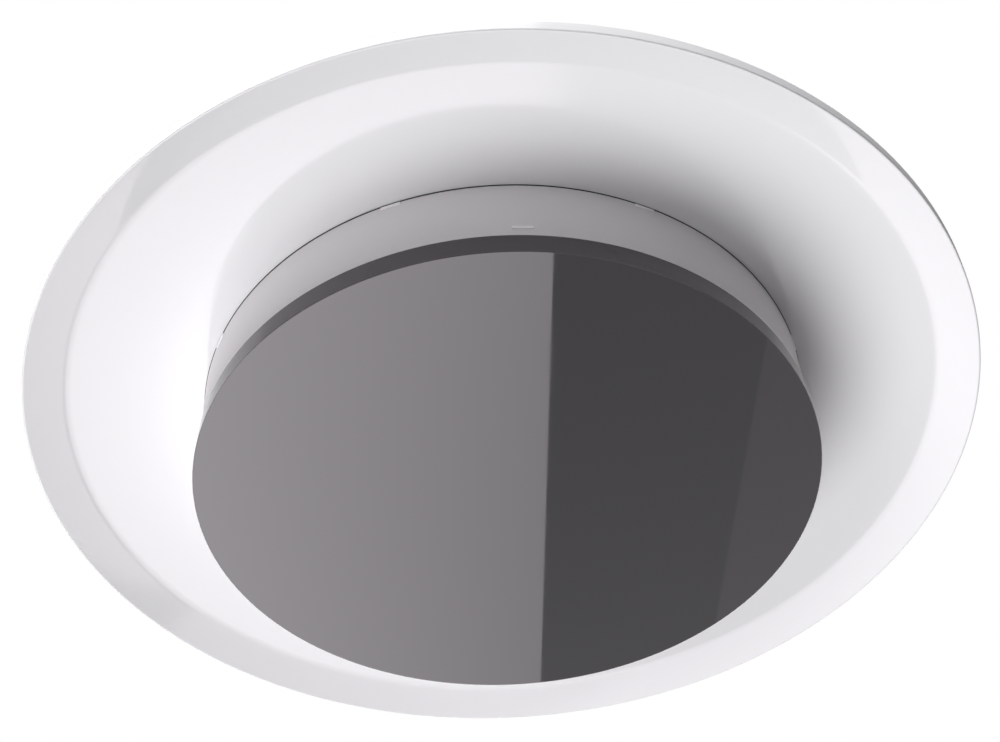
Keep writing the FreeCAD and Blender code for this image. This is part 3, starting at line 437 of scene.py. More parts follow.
def dish_outline(sizes):
    """Level floor by the drum, gentle hollow, lip and turned-back rim, then the same on the back."""
    floor_front = DISH_BACK + sizes.sheet
    along = (math.cos(sizes.lip_angle), math.sin(sizes.lip_angle))
    normal = (-along[1], along[0])
    sweep = (sizes.level_radius, floor_front + sizes.sweep)
    # The fillet's centre is one fillet radius off the lip, and nearer than the floor to the sweep's centre.
    off = (
        sizes.rim_radius + normal[0] * sizes.lip_fillet - sweep[0],
        sizes.rim_depth + normal[1] * sizes.lip_fillet - sweep[1],
    )
    lean = off[0] * along[0] + off[1] * along[1]
    reach_in = sizes.sweep - sizes.lip_fillet
    lip_length = lean + math.sqrt(lean**2 + reach_in**2 - off[0] ** 2 - off[1] ** 2)
    fillet = tuple(c + o - lip_length * a for c, o, a in zip(sweep, off, along))

    def face(sheet):
        """Curved stretch of the face that lies a sheet's depth behind the front, from the floor outwards."""
        share = (sizes.sweep + sheet) / math.dist(sweep, fillet)
        turn_start = tuple(s + share * (f - s) for s, f in zip(sweep, fillet))
        turn_end = tuple(f - (sizes.lip_fillet + sheet) * n for f, n in zip(fillet, normal))
        level_end = (sizes.level_radius, floor_front - sheet)
        hollow = arc(sweep, level_end, turn_start, SWEEP_STEPS)
        return hollow + arc(fillet, turn_start, turn_end, FILLET_STEPS)[1:]

    rim_inner = sizes.rim_radius - sizes.sheet
    rim_back = sizes.rim_depth - sizes.rim_wall
    rim_corner = sizes.rim_depth - sizes.sheet / along[0] - sizes.sheet * along[1] / along[0]
    return (
        [(sizes.hole_radius, floor_front)]
        + face(0)
        + [(sizes.rim_radius, sizes.rim_depth), (sizes.rim_radius, rim_back)]
        + [(rim_inner, rim_back), (rim_inner, rim_corner)]
        + face(sizes.sheet)[::-1]
        + [(sizes.hole_radius, floor_front - sizes.sheet)]
    )


class WALL_LIGHT_OT_dish(bpy.types.Operator):
    """Spun dish with a rolled lip and a turned-back rim"""

    bl_idname = "wall_light.dish"
    bl_label = "Dish"

    def execute(self, context):
        sizes = context.scene.wall_light.dish
        dish = turn("dish", dish_outline(sizes))
        round_edge(dish, sizes.rim_radius, sizes.rim_depth, sizes.rim_round)
        rounded(dish, sizes.edge_round)
        stand_for(dish, "reflector_dish")
        return {"FINISHED"}


class WALL_LIGHT_OT_drum(bpy.types.Operator):
    """Opal drum with its seal's groove, the bars outside and the bayonet lugs inside"""

    bl_idname = "wall_light.drum"
    bl_label = "Drum"

    SOFTEN = 0.4  # rounding of a bar's edges, as a share of its relief

    def execute(self, context):
        sizes = context.scene.wall_light.drum
        inner = sizes.radius - sizes.wall
        bore_radius = inner - sizes.flange
        groove_outer = sizes.groove_radius + sizes.groove_width
        groove_back = DRUM_FRONT - sizes.groove_depth
        outline = [
            (inner, sizes.foot_depth),
            (sizes.radius, sizes.foot_depth),
            (sizes.radius, DRUM_FRONT),
            (groove_outer, DRUM_FRONT),
            (groove_outer, groove_back),
            (sizes.groove_radius, groove_back),
            (sizes.groove_radius, DRUM_FRONT),
            (bore_radius, DRUM_FRONT),
            (bore_radius, DRUM_FRONT - sizes.wall),
            (inner, DRUM_FRONT - sizes.wall),
        ]
        drum = rounded(turn("drum", outline), sizes.edge_round)
        wear(drum, finish("opal_acrylic"))
        lug_azimuths = evenly(sizes.lug_count, sizes.index_azimuth + math.pi / sizes.lug_count)
        bar_back = sizes.foot_depth + sizes.bar_lift
        index_back = DRUM_FRONT - sizes.index_drop - sizes.bar_height
        combine(drum, copies(self.lug(sizes, inner), lug_azimuths), "UNION")
        bars = copies(self.bar(sizes, bar_back), lug_azimuths)
        bars += copies(self.bar(sizes, index_back), [sizes.index_azimuth])
        combine(drum, bars, "UNION")
        stand_for(drum, "diffuser_drum")
        return {"FINISHED"}

    def bar(self, sizes, back):
        """Small raised bar with soft edges, at the top of the drum."""
        half = sizes.bar_width / 2
        low = sizes.radius - sizes.bar_root
        high = sizes.radius + sizes.bar_proud
        bar = block(-half, half, back, back + sizes.bar_height, low, high)
        # The bars wear a lighter copy of the drum's acrylic, a painted highlight.
        return wear(rounded(bar, sizes.bar_proud * self.SOFTEN), finish("bar_painted_highlight"))

    def lug(self, sizes, inner):
        half = sizes.lug_width / 2
        back = DRUM_BACK + sizes.lug_lift
        lug = block(-half, half, back, back + sizes.lug_thick, sizes.lug_radius, inner + sizes.bar_root)
        return wear(rounded(lug, sizes.edge_round), finish("opal_acrylic"))


class WALL_LIGHT_OT_cap(bpy.types.Operator):
    """Polished cap with a drafted skirt, a rib over the seal and posts for the clips"""

    bl_idname = "wall_light.cap"
    bl_label = "Cap"

    SIDEWAYS = 0.5  # a face looks sideways if its normal has less than this along the axis

    def execute(self, context):
        sizes = context.scene.wall_light.cap
        back_radius = sizes.radius - sizes.draft
        skirt_inner = back_radius - sizes.skirt
        inside = CAP_FRONT - sizes.face
        rib_inner = sizes.rib_radius - sizes.rib_width / 2
        rib_outer = sizes.rib_radius + sizes.rib_width / 2
        outline = [
            (0, CAP_FRONT),
            (sizes.radius, CAP_FRONT),
            (back_radius, CAP_BACK),
            (skirt_inner, CAP_BACK),
            (skirt_inner, inside),
            (rib_outer, inside),
            (rib_outer, CAP_BACK),
            (rib_inner, CAP_BACK),
            (rib_inner, inside),
            (0, inside),
        ]
        cap = rounded(turn("cap", outline), sizes.edge_round, segments=4)
        wear(cap, finish("dark_gloss"))
        # The skirt's outside wears a lighter copy of the acrylic: painted light.
        self.edge(cap, (back_radius + skirt_inner) / 2)
        seat = inside - sizes.post_height
        root = sizes.face / 4
        post = peg(sizes.post_radius, seat, inside + root, z=sizes.post_circle)
        bore(post, sizes.post_radius, sizes.post_bore, sizes.post_height, 1)
        wear(post, finish("dark_gloss"))
        combine(cap, copies(post, evenly(sizes.post_count)), "UNION")
        stand_for(cap, "front_cap")
        return {"FINISHED"}

    def edge(self, cap, beyond):
        """Gives the outside of the skirt, beyond a radius, a lighter copy of the cap's acrylic: painted
        light.
        """
        cap.data.materials.append(finish("cap_skirt_painted_light"))

        def outside(face):
            return math.hypot(face.center.x, face.center.z) > beyond and abs(face.normal.y) < self.SIDEWAYS

        pick(cap, "FACE", outside)
        cap.active_material_index = 1
        bpy.ops.object.material_slot_assign()
        bpy.ops.object.mode_set(mode="OBJECT")


class WALL_LIGHT_OT_seals(bpy.types.Operator):
    """Rubber rings in their grooves and under the drum, and the cable's grommet"""

    bl_idname = "wall_light.seals"
    bl_label = "Seals"

    CLEAR = 0.1 * MM  # seal to the sides of its groove
    # The seal's dark rubber past the drum stands in for the shade in the gap: painted shade.
    PAINTED_SHADE_LIP = 0.15 * MM  # what shows of the seal outside the drum
    ROUND = 0.25 * MM  # rounding of the rings' edges, half that of the grommet's

    def execute(self, context):
        settings = context.scene.wall_light
        width = settings.drum.groove_width
        rings = {
            "cap_seal": settings.drum.groove_radius,
            "wall_seal": settings.tray.wall_groove,
            "dish_seal": settings.tray.dish_groove,
        }
        for node, inner in rings.items():
            self.ring(node, inner + self.CLEAR, inner + width - self.CLEAR)
        drum = settings.drum
        # This one is a flat ring that reaches just past the drum's foot, so that its dark rubber shows all
        # round there as the gap's line of shade: partly a real seal, partly painted shade.
        flat = drum.foot_depth - self.CLEAR
        self.ring("drum_seal", drum.radius - drum.wall + self.CLEAR, drum.radius + self.PAINTED_SHADE_LIP, flat)
        self.grommet(settings.tray)
        return {"FINISHED"}

    def ring(self, node, inner, outer, front=None):
        _, back, solid_front = reach(node)
        front = front or solid_front
        width = min(self.ROUND, (front - back) / 3)
        outline = [(inner, back), (outer, back), (outer, front), (inner, front)]
        stand_for(rounded(turn(node, outline), width), node)

    def grommet(self, tray):
        """Grips the tray's floor from both sides, with a nose that narrows round the cable."""
        cable = 4 * MM
        tip = 5.6 * MM
        lip = tray.recess - GROMMET_BACK
        neck = tray.cable_hole - self.CLEAR
        inside = tray.recess + tray.floor
        nose = [(neck, inside + lip), (tip, GROMMET_FRONT), (cable, GROMMET_FRONT)]
        outline = [
            (cable, GROMMET_BACK),
            (GROMMET_REACH, GROMMET_BACK),
            (GROMMET_REACH, tray.recess),
            (neck, tray.recess),
            (neck, inside),
            (GROMMET_REACH, inside),
            (GROMMET_REACH, inside + lip),
        ]
        stand_for(rounded(turn("grommet", outline + nose), 2 * self.ROUND), "cable_grommet")


class WALL_LIGHT_OT_tray(bpy.types.Operator):
    """Cast tray with its fixing slots, ribs, bosses and seal grooves"""

    bl_idname = "wall_light.tray"
    bl_label = "Tray"

    # Heights above the floor of the bosses under the gear, by their screws
    GEAR_BOSSES = {"driver_screws": 5 * MM, "terminal_screws": 3 * MM}
    GEAR_BORE = 2.55 * MM  # depth of the holes in them
    EARTH_SEAT = 10 * MM  # wall to the earth point's boss

    def execute(self, context):
        settings = context.scene.wall_light
        sizes = settings.tray
        tray = rounded(turn("tray", self.outline(sizes, settings.drum)), sizes.edge_round)
        combine(tray, self.ribs(sizes), "UNION")
        combine(tray, self.pads(sizes), "UNION")
        combine(tray, self.webs(sizes), "UNION")
        combine(tray, self.bosses(sizes), "UNION")
        cable_hole = peg(sizes.cable_hole, -CUT, sizes.recess + sizes.floor + CUT, sides=WIDE_SIDES)
        combine(tray, [cable_hole] + self.slots(sizes), "DIFFERENCE")
        stand_for(tray, "base_tray")
        return {"FINISHED"}

    def outline(self, sizes, drum):
        inside = sizes.recess + sizes.floor
        inner = sizes.outer - sizes.wall
        flange_back = DISH_BACK - sizes.flange
        groove = (drum.groove_width, drum.groove_depth)
        wall_groove_outer = sizes.wall_groove + groove[0]
        dish_groove_outer = sizes.dish_groove + groove[0]
        foot_start = (sizes.outer - sizes.foot_round, 0)
        foot_end = (sizes.outer, sizes.foot_round)
        foot_centre = (sizes.outer - sizes.foot_round, sizes.foot_round)
        return (
            [(0, sizes.recess), (sizes.recess_radius, sizes.recess), (sizes.recess_radius, 0)]
            + [(sizes.wall_groove, 0), (sizes.wall_groove, groove[1])]
            + [(wall_groove_outer, groove[1]), (wall_groove_outer, 0)]
            + arc(foot_centre, foot_start, foot_end, FOOT_STEPS)
            + [(sizes.outer, flange_back), (TRAY_REACH, flange_back), (TRAY_REACH, DISH_BACK)]
            + [(dish_groove_outer, DISH_BACK), (dish_groove_outer, DISH_BACK - groove[1])]
            + [(sizes.dish_groove, DISH_BACK - groove[1]), (sizes.dish_groove, DISH_BACK)]
            + [(inner, DISH_BACK), (inner, inside), (0, inside)]
        )

    def ribs(self, sizes):
        half = sizes.rib_width / 2
        back = sizes.recess + sizes.root
        end = sizes.recess_radius + sizes.root
        rib = block(-half, half, sizes.rib_short, back, sizes.rib_start, end)
        return copies(rounded(rib, sizes.edge_round), evenly(sizes.rib_count))

    def pads(self, sizes):
        radius = sizes.slot_length / 2 + sizes.pad_margin
        sides = (-sizes.bolt_spacing / 2, sizes.bolt_spacing / 2)
        pads = [peg(radius, 0, sizes.recess + sizes.root, x, sides=WIDE_SIDES) for x in sides]
        return [rounded(pad, sizes.edge_round) for pad in pads]

    def slots(self, sizes):
        """Round bars drawn out sideways, which cut the fixing slots."""
        cutters = []
        draw = sizes.slot_length / 2 - sizes.slot_radius
        for x in (-sizes.bolt_spacing / 2, sizes.bolt_spacing / 2):
            cutter = peg(sizes.slot_radius, -CUT, sizes.recess + sizes.floor + CUT, x)
            for side in (-1, 1):
                pick(cutter, "VERT", lambda corner: (corner.co.x - x) * side > WELD)
                bpy.ops.transform.translate(value=(side * draw, 0, 0))
                bpy.ops.object.mode_set(mode="OBJECT")
            cutters.append(cutter)
        return cutters

    def webs(self, sizes):
        half = sizes.web_width / 2
        back = sizes.recess + sizes.floor - sizes.root
        inner = sizes.outer - sizes.wall
        web = block(-half, half, back, DISH_BACK - sizes.web_drop, sizes.boss_circle, inner + sizes.root)
        return copies(web, evenly(SCREW_COUNT))

    def bosses(self, sizes):
        """Bosses in the tray, at the places that their screws' solids give."""
        floor = sizes.recess + sizes.floor
        back = floor - sizes.root
        boss = rounded(peg(sizes.boss_radius, back, TRAY_FRONT, z=sizes.boss_circle), sizes.edge_round / 2)
        bore(boss, sizes.boss_radius - sizes.edge_round / 2, sizes.boss_bore, sizes.boss_depth, -1)
        bosses = copies(boss, evenly(SCREW_COUNT))
        for screws, height in self.GEAR_BOSSES.items():
            low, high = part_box(screws)
            head = min(high.x - low.x, high.z - low.z) / 2
            for x, z in ((low.x + head, low.z + head), (high.x - head, high.z - head)):
                boss = peg(sizes.small_boss, back, floor + height, x, z)
                bosses.append(bore(boss, sizes.small_boss, sizes.small_bore, self.GEAR_BORE, -1))
        low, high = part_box("earth_screw")
        x, z = (low.x + high.x) / 2, (low.z + high.z) / 2
        bosses.append(peg(sizes.earth_boss, back, self.EARTH_SEAT, x, z))
        return bosses


# Gear inside


class WALL_LIGHT_OT_carrier(bpy.types.Operator):
    """Pressed aluminium carrier of the LED strip, with four ears"""

    bl_idname = "wall_light.carrier"
    bl_label = "LED carrier"

    def execute(self, context):
        sizes = context.scene.wall_light.gear
        inside = sizes.carrier_radius - sizes.carrier_sheet
        seat = CARRIER_BACK + sizes.carrier_sheet
        outline = [
            (0, CARRIER_FRONT),
            (sizes.carrier_radius, CARRIER_FRONT),
            (sizes.carrier_radius, seat),
            (sizes.carrier_flange, seat),
            (sizes.carrier_flange, CARRIER_BACK),
            (inside, CARRIER_BACK),
            (inside, CARRIER_FRONT - sizes.carrier_sheet),
            (0, CARRIER_FRONT - sizes.carrier_sheet),
        ]
        hat = rounded(turn("carrier", outline), sizes.carrier_round)
        azimuths = evenly(SCREW_COUNT, math.pi / SCREW_COUNT)
        low = sizes.carrier_radius + sizes.carrier_sheet
        ear = block(-sizes.ear_radius, sizes.ear_radius, CARRIER_BACK, seat, low, sizes.ear_circle)
        combine(ear, [peg(sizes.ear_radius, CARRIER_BACK, seat, z=sizes.ear_circle)], "UNION")
        combine(hat, copies(ear, azimuths), "UNION")
        hole = peg(sizes.ear_bore, CARRIER_BACK - CUT, seat + CUT, z=sizes.ear_circle)
        combine(hat, copies(hole, azimuths), "DIFFERENCE")
        stand_for(hat, "led_carrier")
        return {"FINISHED"}


class WALL_LIGHT_OT_leds(bpy.types.Operator):
    """LEDs along the strip: white frames with a phosphor well"""

    bl_idname = "wall_light.leds"
    bl_label = "LEDs"

    WELL = 0.2 * MM  # depth of the phosphor below the frame
    ROUND = 0.12 * MM  # rounding of the frame's edges

    def execute(self, context):
        sizes = context.scene.wall_light.gear
        half = sizes.led_width / 2
        middle = (STRIP_BACK + STRIP_FRONT) / 2
        back = middle - sizes.led_length / 2
        top = sizes.led_radius + sizes.led_thick
        led = block(-half, half, back, back + sizes.led_length, sizes.led_radius, top)
        rounded(led, self.ROUND, segments=2)
        led.data.materials.append(finish("white_plastic"))
        led.data.materials.append(finish("led_phosphor"))
        pick(led, "FACE", lambda face: face.normal.z > SQUARE)
        bpy.ops.mesh.inset(thickness=sizes.led_frame)
        bpy.ops.mesh.extrude_region_move(TRANSFORM_OT_translate={"value": (0, 0, -self.WELL)})
        led.active_material_index = 1
        bpy.ops.object.material_slot_assign()
        bpy.ops.object.mode_set(mode="OBJECT")
        step = (math.tau - sizes.strip_gap) / sizes.led_count
        first = sizes.connector_azimuth + sizes.strip_gap / 2 + step / 2
        leds = joined(copies(led, [first + number * step for number in range(sizes.led_count)]))
        stand_for(leds, "led_packages")
        return {"FINISHED"}


class WALL_LIGHT_OT_small_parts(bpy.types.Operator):
    """Moulded, stamped and turned small parts, with the soft edges that such parts have"""

    bl_idname = "wall_light.small_parts"
    bl_label = "Small parts"

    # Rounding of each part's edges in millimetres; leads are only smoothed
    ROUNDINGS = {
        "bayonet_ring": 0.25,
        "ring_screws": 0.3,
        "carrier_screws": 0.3,
        "driver_screws": 0.25,
        "terminal_screws": 0.25,
        "earth_screw": 0.25,
        "clip_screws": 0.2,
        "earth_washer": 0.15,
        "earth_tag": 0.15,
        "cap_clips": 0.2,
        "cap_reflector": 0.1,
        "led_board": 0.1,
        "led_connector": 0.35,
        "driver_case": 0.5,
        "driver_lid": 0.4,
        "driver_board": 0.1,
        "driver_components": 0.4,
        "terminal_block": 0.3,
        "terminal_contacts": 0.1,
        "button_live": 0.35,
        "button_neutral": 0.35,
        "button_earth": 0.35,
        "live_lead": 0,
        "neutral_lead": 0,
        "earth_lead": 0,
        "led_lead_plus": 0,
        "led_lead_minus": 0,
    }
    FLAT = math.radians(0.5)  # faces that bend less than this become one

    def execute(self, context):
        for node, rounding in self.ROUNDINGS.items():
            piece = bpy.data.objects.new(node, frame["nodes"][node].data.copy())
            context.scene.collection.objects.link(piece)
            wear(piece, finish(SLOT_OF[node]))
            only(piece)
            bpy.ops.mesh.customdata_custom_splitnormals_clear()
            bpy.ops.object.mode_set(mode="EDIT")
            bpy.ops.mesh.select_all(action="SELECT")
            bpy.ops.mesh.remove_doubles(threshold=WELD)
            bpy.ops.mesh.dissolve_limited(angle_limit=self.FLAT)
            bpy.ops.object.mode_set(mode="OBJECT")
            if rounding:
                rounded(piece, rounding * MM, segments=2)
            stand_for(piece, node)
        return {"FINISHED"}


# Finishes


def add(owner, kind, inputs, **settings):
    """Adds a node with its settings, and sets or links its inputs."""
    node = owner.node_tree.nodes.new(kind)
    for name, value in settings.items():
        setattr(node, name, value)
    for name, value in inputs.items():
        if isinstance(value, bpy.types.NodeSocket):
            owner.node_tree.links.new(value, node.inputs[name])
        else:
            node.inputs[name].default_value = value
    return node


def per_metre(size):
    """Pattern scale for a grain size in millimetres."""
    return 1000 / size


def opaque(rgb):
    return (*rgb, 1.0)


def surface(name, base, **sockets):
    """Material of one Principled shader with constant sockets; returns it and the shader."""
    material = bpy.data.materials.new(name)
    material.use_nodes = True
    shader = material.node_tree.nodes["Principled BSDF"]
    shader.inputs["Base Color"].default_value = opaque(base)
    for socket, value in sockets.items():
        shader.inputs[socket.replace("_", " ")].default_value = value
    return material, shader


NOISE_SPAN = {"From Min": 0.3, "From Max": 0.7}  # where nearly all of a noise's values lie
GRAIN_DETAIL = 3.0
CLOUD_DETAIL = 2.0
FIRST, SECOND, MIXED = 6, 7, 2  # a Mix node's sockets for colours


class Grit(NamedTuple):
    """Grain of a surface, with its size and height in millimetres"""

    size: float
    smooth: float  # roughness where it is smoothest
    rough: float  # roughness where it is roughest
    height: float
    stretch: tuple = (1, 1, 1)


def grain(material, shader, grit):
    """Unevenness that varies the roughness and lifts the surface."""
    links = material.node_tree.links
    place = add(material, "ShaderNodeTexCoord", {})
    spread = add(material, "ShaderNodeMapping", {"Vector": place.outputs["Object"], "Scale": grit.stretch})
    inputs = {"Vector": spread.outputs["Vector"], "Scale": per_metre(grit.size), "Detail": GRAIN_DETAIL}
    noise = add(material, "ShaderNodeTexNoise", inputs)
    inputs = {"Value": noise.outputs["Fac"], "To Min": grit.smooth, "To Max": grit.rough, **NOISE_SPAN}
    rough = add(material, "ShaderNodeMapRange", inputs)
    links.new(rough.outputs["Result"], shader.inputs["Roughness"])
    bump = add(material, "ShaderNodeBump", {"Height": noise.outputs["Fac"], "Distance": grit.height * MM})
    links.new(bump.outputs["Normal"], shader.inputs["Normal"])


def clouded(name, base, other, patch, grit, **sockets):
    """Material with a grain and a slow drift between two close colours, in patches so many mm wide."""
    material, shader = surface(name, base, **sockets)
    grain(material, shader, grit)
    place = add(material, "ShaderNodeTexCoord", {})
    inputs = {"Vector": place.outputs["Object"], "Scale": per_metre(patch), "Detail": CLOUD_DETAIL}
    noise = add(material, "ShaderNodeTexNoise", inputs)
    inputs = {"Factor": noise.outputs["Fac"], FIRST: opaque(base), SECOND: opaque(other)}
    mix = add(material, "ShaderNodeMix", inputs, data_type="RGBA")
    material.node_tree.links.new(mix.outputs[MIXED], shader.inputs["Base Color"])
    return material


def shade(rgb, share):
    return [channel * share for channel in rgb]


def paints():
    """Colours that the user has set."""
    return bpy.context.scene.wall_light.finishes


def gloss_lacquer():
    # Sprayed and baked white lacquer: a mirror-like film over white, with a very slight orange peel.
    base = paints().dish
    peel = Grit(2.5, 0.07, 0.09, 0.0006)
    return clouded("Gloss white lacquer", base, shade(base, 0.985), 70, peel, IOR=1.36)


def powder_coat():
    # Baked powder on a casting: even, matt white with a fine pebbled skin.
    base = paints().tray
    pebbles = Grit(0.9, 0.42, 0.58, 0.02)
    return clouded("Matt white powder coat", base, shade(base, 0.96), 25, pebbles, IOR=1.5)


MILKY = {
    "Subsurface_Weight": 0.25,
    "Subsurface_Scale": 0.003,
    "Subsurface_Radius": (1, 0.95, 0.9),
    "IOR": 1.49,
}


def opal_acrylic():
    # Moulded opal acrylic: milky, so light spreads a few millimetres under a satin skin.
    base = paints().drum
    satin = Grit(0.5, 0.42, 0.52, 0.002)
    return clouded("Opal acrylic", base, shade(base, 0.98), 30, satin, Specular_IOR_Level=0.15, **MILKY)


def opal_painted_lighter():
    # Same acrylic where the mould is polished: glossy, and painted lighter than the drum, a painted highlight
    # that makes the small bars look lit.
    base = shade(paints().drum, 1.35)
    gloss = Grit(0.5, 0.08, 0.14, 0.001)
    return clouded("Polished opal acrylic, painted highlight", base, shade(base, 0.98), 3, gloss, **MILKY)


def dark_acrylic():
    # Polished dark acrylic: almost black inside, and a mirror for the room on its face.
    base = paints().cap
    mirror = Grit(18, 0.015, 0.03, 0.00002)
    return clouded("Polished dark acrylic", base, shade(base, 0.9), 40, mirror, IOR=1.53)


def skirt_painted_lighter():
    # Same dark acrylic on the cap's sawn and polished edge, painted a shade lighter than the face: painted
    # light on the skirt.
    base = linear("#352C34")
    gloss = Grit(18, 0.02, 0.04, 0.00002)
    return clouded("Dark acrylic, skirt painted lighter", base, shade(base, 0.9), 40, gloss, IOR=1.53)


def moulded_rubber():
    # Moulded rubber: near black and dull, with a dusty fine grain.
    base = paints().rubber
    dust = Grit(0.4, 0.5, 0.7, 0.015)
    return clouded("Moulded black rubber", base, shade(base, 1.6), 6, dust, IOR=1.52, Specular_IOR_Level=0.05)


def zinc_plate():
    # Bright zinc on stamped steel: bluish silver with slight blur and drawn lines.
    lines = Grit(0.35, 0.2, 0.34, 0.0012, stretch=(1, 1, 0.12))
    return clouded("Bright zinc plate", linear("#BFC4C9"), linear("#C9C6BC"), 5, lines, Metallic=1.0)


def spring_steel():
    # Rolled and blued spring steel: darker, with fine rolling lines.
    lines = Grit(0.3, 0.22, 0.36, 0.0015, stretch=(0.1, 1, 1))
    return clouded("Rolled spring steel", linear("#83868C"), linear("#76797F"), 4, lines, Metallic=1.0)


def pressed_aluminium():
    # Mill-finished aluminium sheet: pale grey metal with rolling lines along one way.
    lines = Grit(0.6, 0.36, 0.52, 0.004, stretch=(0.05, 1, 1))
    return clouded("Pressed aluminium sheet", linear("#BBBDC0"), linear("#B2B4B8"), 30, lines, Metallic=1.0)


def white_solder_mask():
    # White solder mask: a smooth cured film over copper, just uneven enough to see.
    film = Grit(1.2, 0.3, 0.42, 0.006)
    return clouded("White solder mask", linear("#EDEDE9"), linear("#E2E2DC"), 4, film, IOR=1.5)


def led_phosphor():
    # Phosphor in clear silicone: warm yellow grains under a wet-looking skin.
    grains = Grit(0.15, 0.3, 0.5, 0.003)
    skin = {"IOR": 1.41, "Coat_Weight": 0.6, "Coat_Roughness": 0.08}
    return clouded("LED phosphor", linear("#E7B53A"), linear("#F0C95C"), 0.5, grains, **skin)


def white_plastic():
    # Moulded polyamide: slightly creamy white with a spark-eroded mould's fine texture.
    base = paints().plastic
    texture = Grit(0.3, 0.36, 0.5, 0.008)
    return clouded("Moulded white plastic", base, shade(base, 0.95), 8, texture, IOR=1.53)


def green_solder_mask():
    # Green solder mask: glossy, with paler lines where copper runs under it.
    base = linear("#1D5F37")
    material, shader = surface("Green solder mask", base, IOR=1.5)
    grain(material, shader, Grit(1.0, 0.18, 0.3, 0.004))
    place = add(material, "ShaderNodeTexCoord", {})
    inputs = {"Vector": place.outputs["Object"], "Scale": per_metre(9), "Distortion": 3.0}
    tracks = add(material, "ShaderNodeTexWave", inputs, bands_direction="Z")
    inputs = {"Value": tracks.outputs["Fac"], "From Min": 0.6, "From Max": 0.65}
    copper = add(material, "ShaderNodeMapRange", inputs)
    inputs = {"Factor": copper.outputs["Result"], FIRST: opaque(base), SECOND: opaque(linear("#2E7F4B"))}
    mix = add(material, "ShaderNodeMix", inputs, data_type="RGBA")
    material.node_tree.links.new(mix.outputs[MIXED], shader.inputs["Base Color"])
    return material


def moulded_epoxy():
    # Moulded black epoxy: dull, charcoal rather than black.
    texture = Grit(0.4, 0.45, 0.6, 0.01)
    return clouded("Moulded black epoxy", linear("#232326"), linear("#2C2C30"), 5, texture, IOR=1.55)


def stamped_brass():
    # Stamped brass: warm metal, lightly scored by the die.
    scores = Grit(0.25, 0.2, 0.32, 0.001, stretch=(0.15, 1, 1))
    return clouded("Stamped brass", linear("#D2A85F"), linear("#BF9650"), 3, scores, Metallic=1.0)


def grey_plastic():
    # Moulded grey plastic: satin, with the mould's fine texture.
    texture = Grit(0.25, 0.35, 0.5, 0.006)
    return clouded("Moulded grey plastic", linear("#85878A"), linear("#7B7D80"), 3, texture, IOR=1.5)


def reflecting_film():
    # White reflecting film: paper-like, quite matt and very white.
    paper = Grit(0.8, 0.55, 0.7, 0.008)
    return clouded("White reflecting film", linear("#F4F4F3"), linear("#EBEBE9"), 15, paper, IOR=1.45)


WAXY = Grit(1.5, 0.32, 0.46, 0.02)


def sleeve(name, code):
    # Extruded soft sleeve: even colour, waxy sheen and slight waviness along its length.
    base = linear(code)
    return clouded(name, base, shade(base, 0.88), 6, WAXY, IOR=1.53)


def striped_sleeve():
    # Earth lead's sleeve: green with a yellow stripe that winds along it.
    base = linear("#2F8A2B")
    material, shader = surface("Green and yellow sleeve", base, IOR=1.53)
    grain(material, shader, WAXY)
    place = add(material, "ShaderNodeTexCoord", {})
    twist = 9 * MM  # one turn of the stripe; a diagonal wave repeats after 2 pi / 10 of its scaled length
    inputs = {"Vector": place.outputs["Object"], "Scale": math.tau / 10 / twist}
    bands = add(material, "ShaderNodeTexWave", inputs, bands_direction="DIAGONAL")
    inputs = {"Value": bands.outputs["Fac"], "From Min": 0.62, "From Max": 0.68}
    stripe = add(material, "ShaderNodeMapRange", inputs)
    inputs = {"Factor": stripe.outputs["Result"], FIRST: opaque(base), SECOND: opaque(linear("#E6CF2A"))}
    mix = add(material, "ShaderNodeMix", inputs, data_type="RGBA")
    material.node_tree.links.new(mix.outputs[MIXED], shader.inputs["Base Color"])
    return material


FINISHES = {
    "dish_lacquer": gloss_lacquer,
    "tray_coat": powder_coat,
    "opal_acrylic": opal_acrylic,
    "bar_painted_highlight": opal_painted_lighter,
    "dark_gloss": dark_acrylic,
    "cap_skirt_painted_light": skirt_painted_lighter,
    "black_rubber": moulded_rubber,
    "zinc_steel": zinc_plate,
    "spring_steel": spring_steel,
    "plain_aluminium": pressed_aluminium,
    "white_board": white_solder_mask,
    "led_phosphor": led_phosphor,
    "white_plastic": white_plastic,
    "green_board": green_solder_mask,
    "component_black": moulded_epoxy,
    "contact_brass": stamped_brass,
    "button_grey": grey_plastic,
    "white_film": reflecting_film,
    "brown_sleeve": lambda: sleeve("Brown sleeve", "#5A3620"),
    "blue_sleeve": lambda: sleeve("Blue sleeve", "#2A5FB0"),
    "green_sleeve": striped_sleeve,
    "red_sleeve": lambda: sleeve("Red sleeve", "#B02A22"),
    "black_sleeve": lambda: sleeve("Black sleeve", "#222224"),
}
MADE = {}


def finish(slot):
    """Material of one of the record's slots, made when it is first asked for."""
    if slot not in MADE:
        MADE[slot] = FINISHES[slot]()
    return MADE[slot]


# Stage


class Sun(NamedTuple):
    """Soft light from far away"""

    toward: tuple  # where it comes from
    power: float
    spread: float  # how wide it is, in degrees


class Card(NamedTuple):
    """Glowing card that shiny surfaces mirror"""

    place: tuple  # its middle
    turned: tuple  # degrees about the three axes
    size: tuple  # width and height
    glow: tuple = (1, 1)  # at its inner edge and past the fade
    fade: float = 1.0  # width over which the glow changes
    ends: tuple = (1, 1)  # share of the glow at its foot and at its head


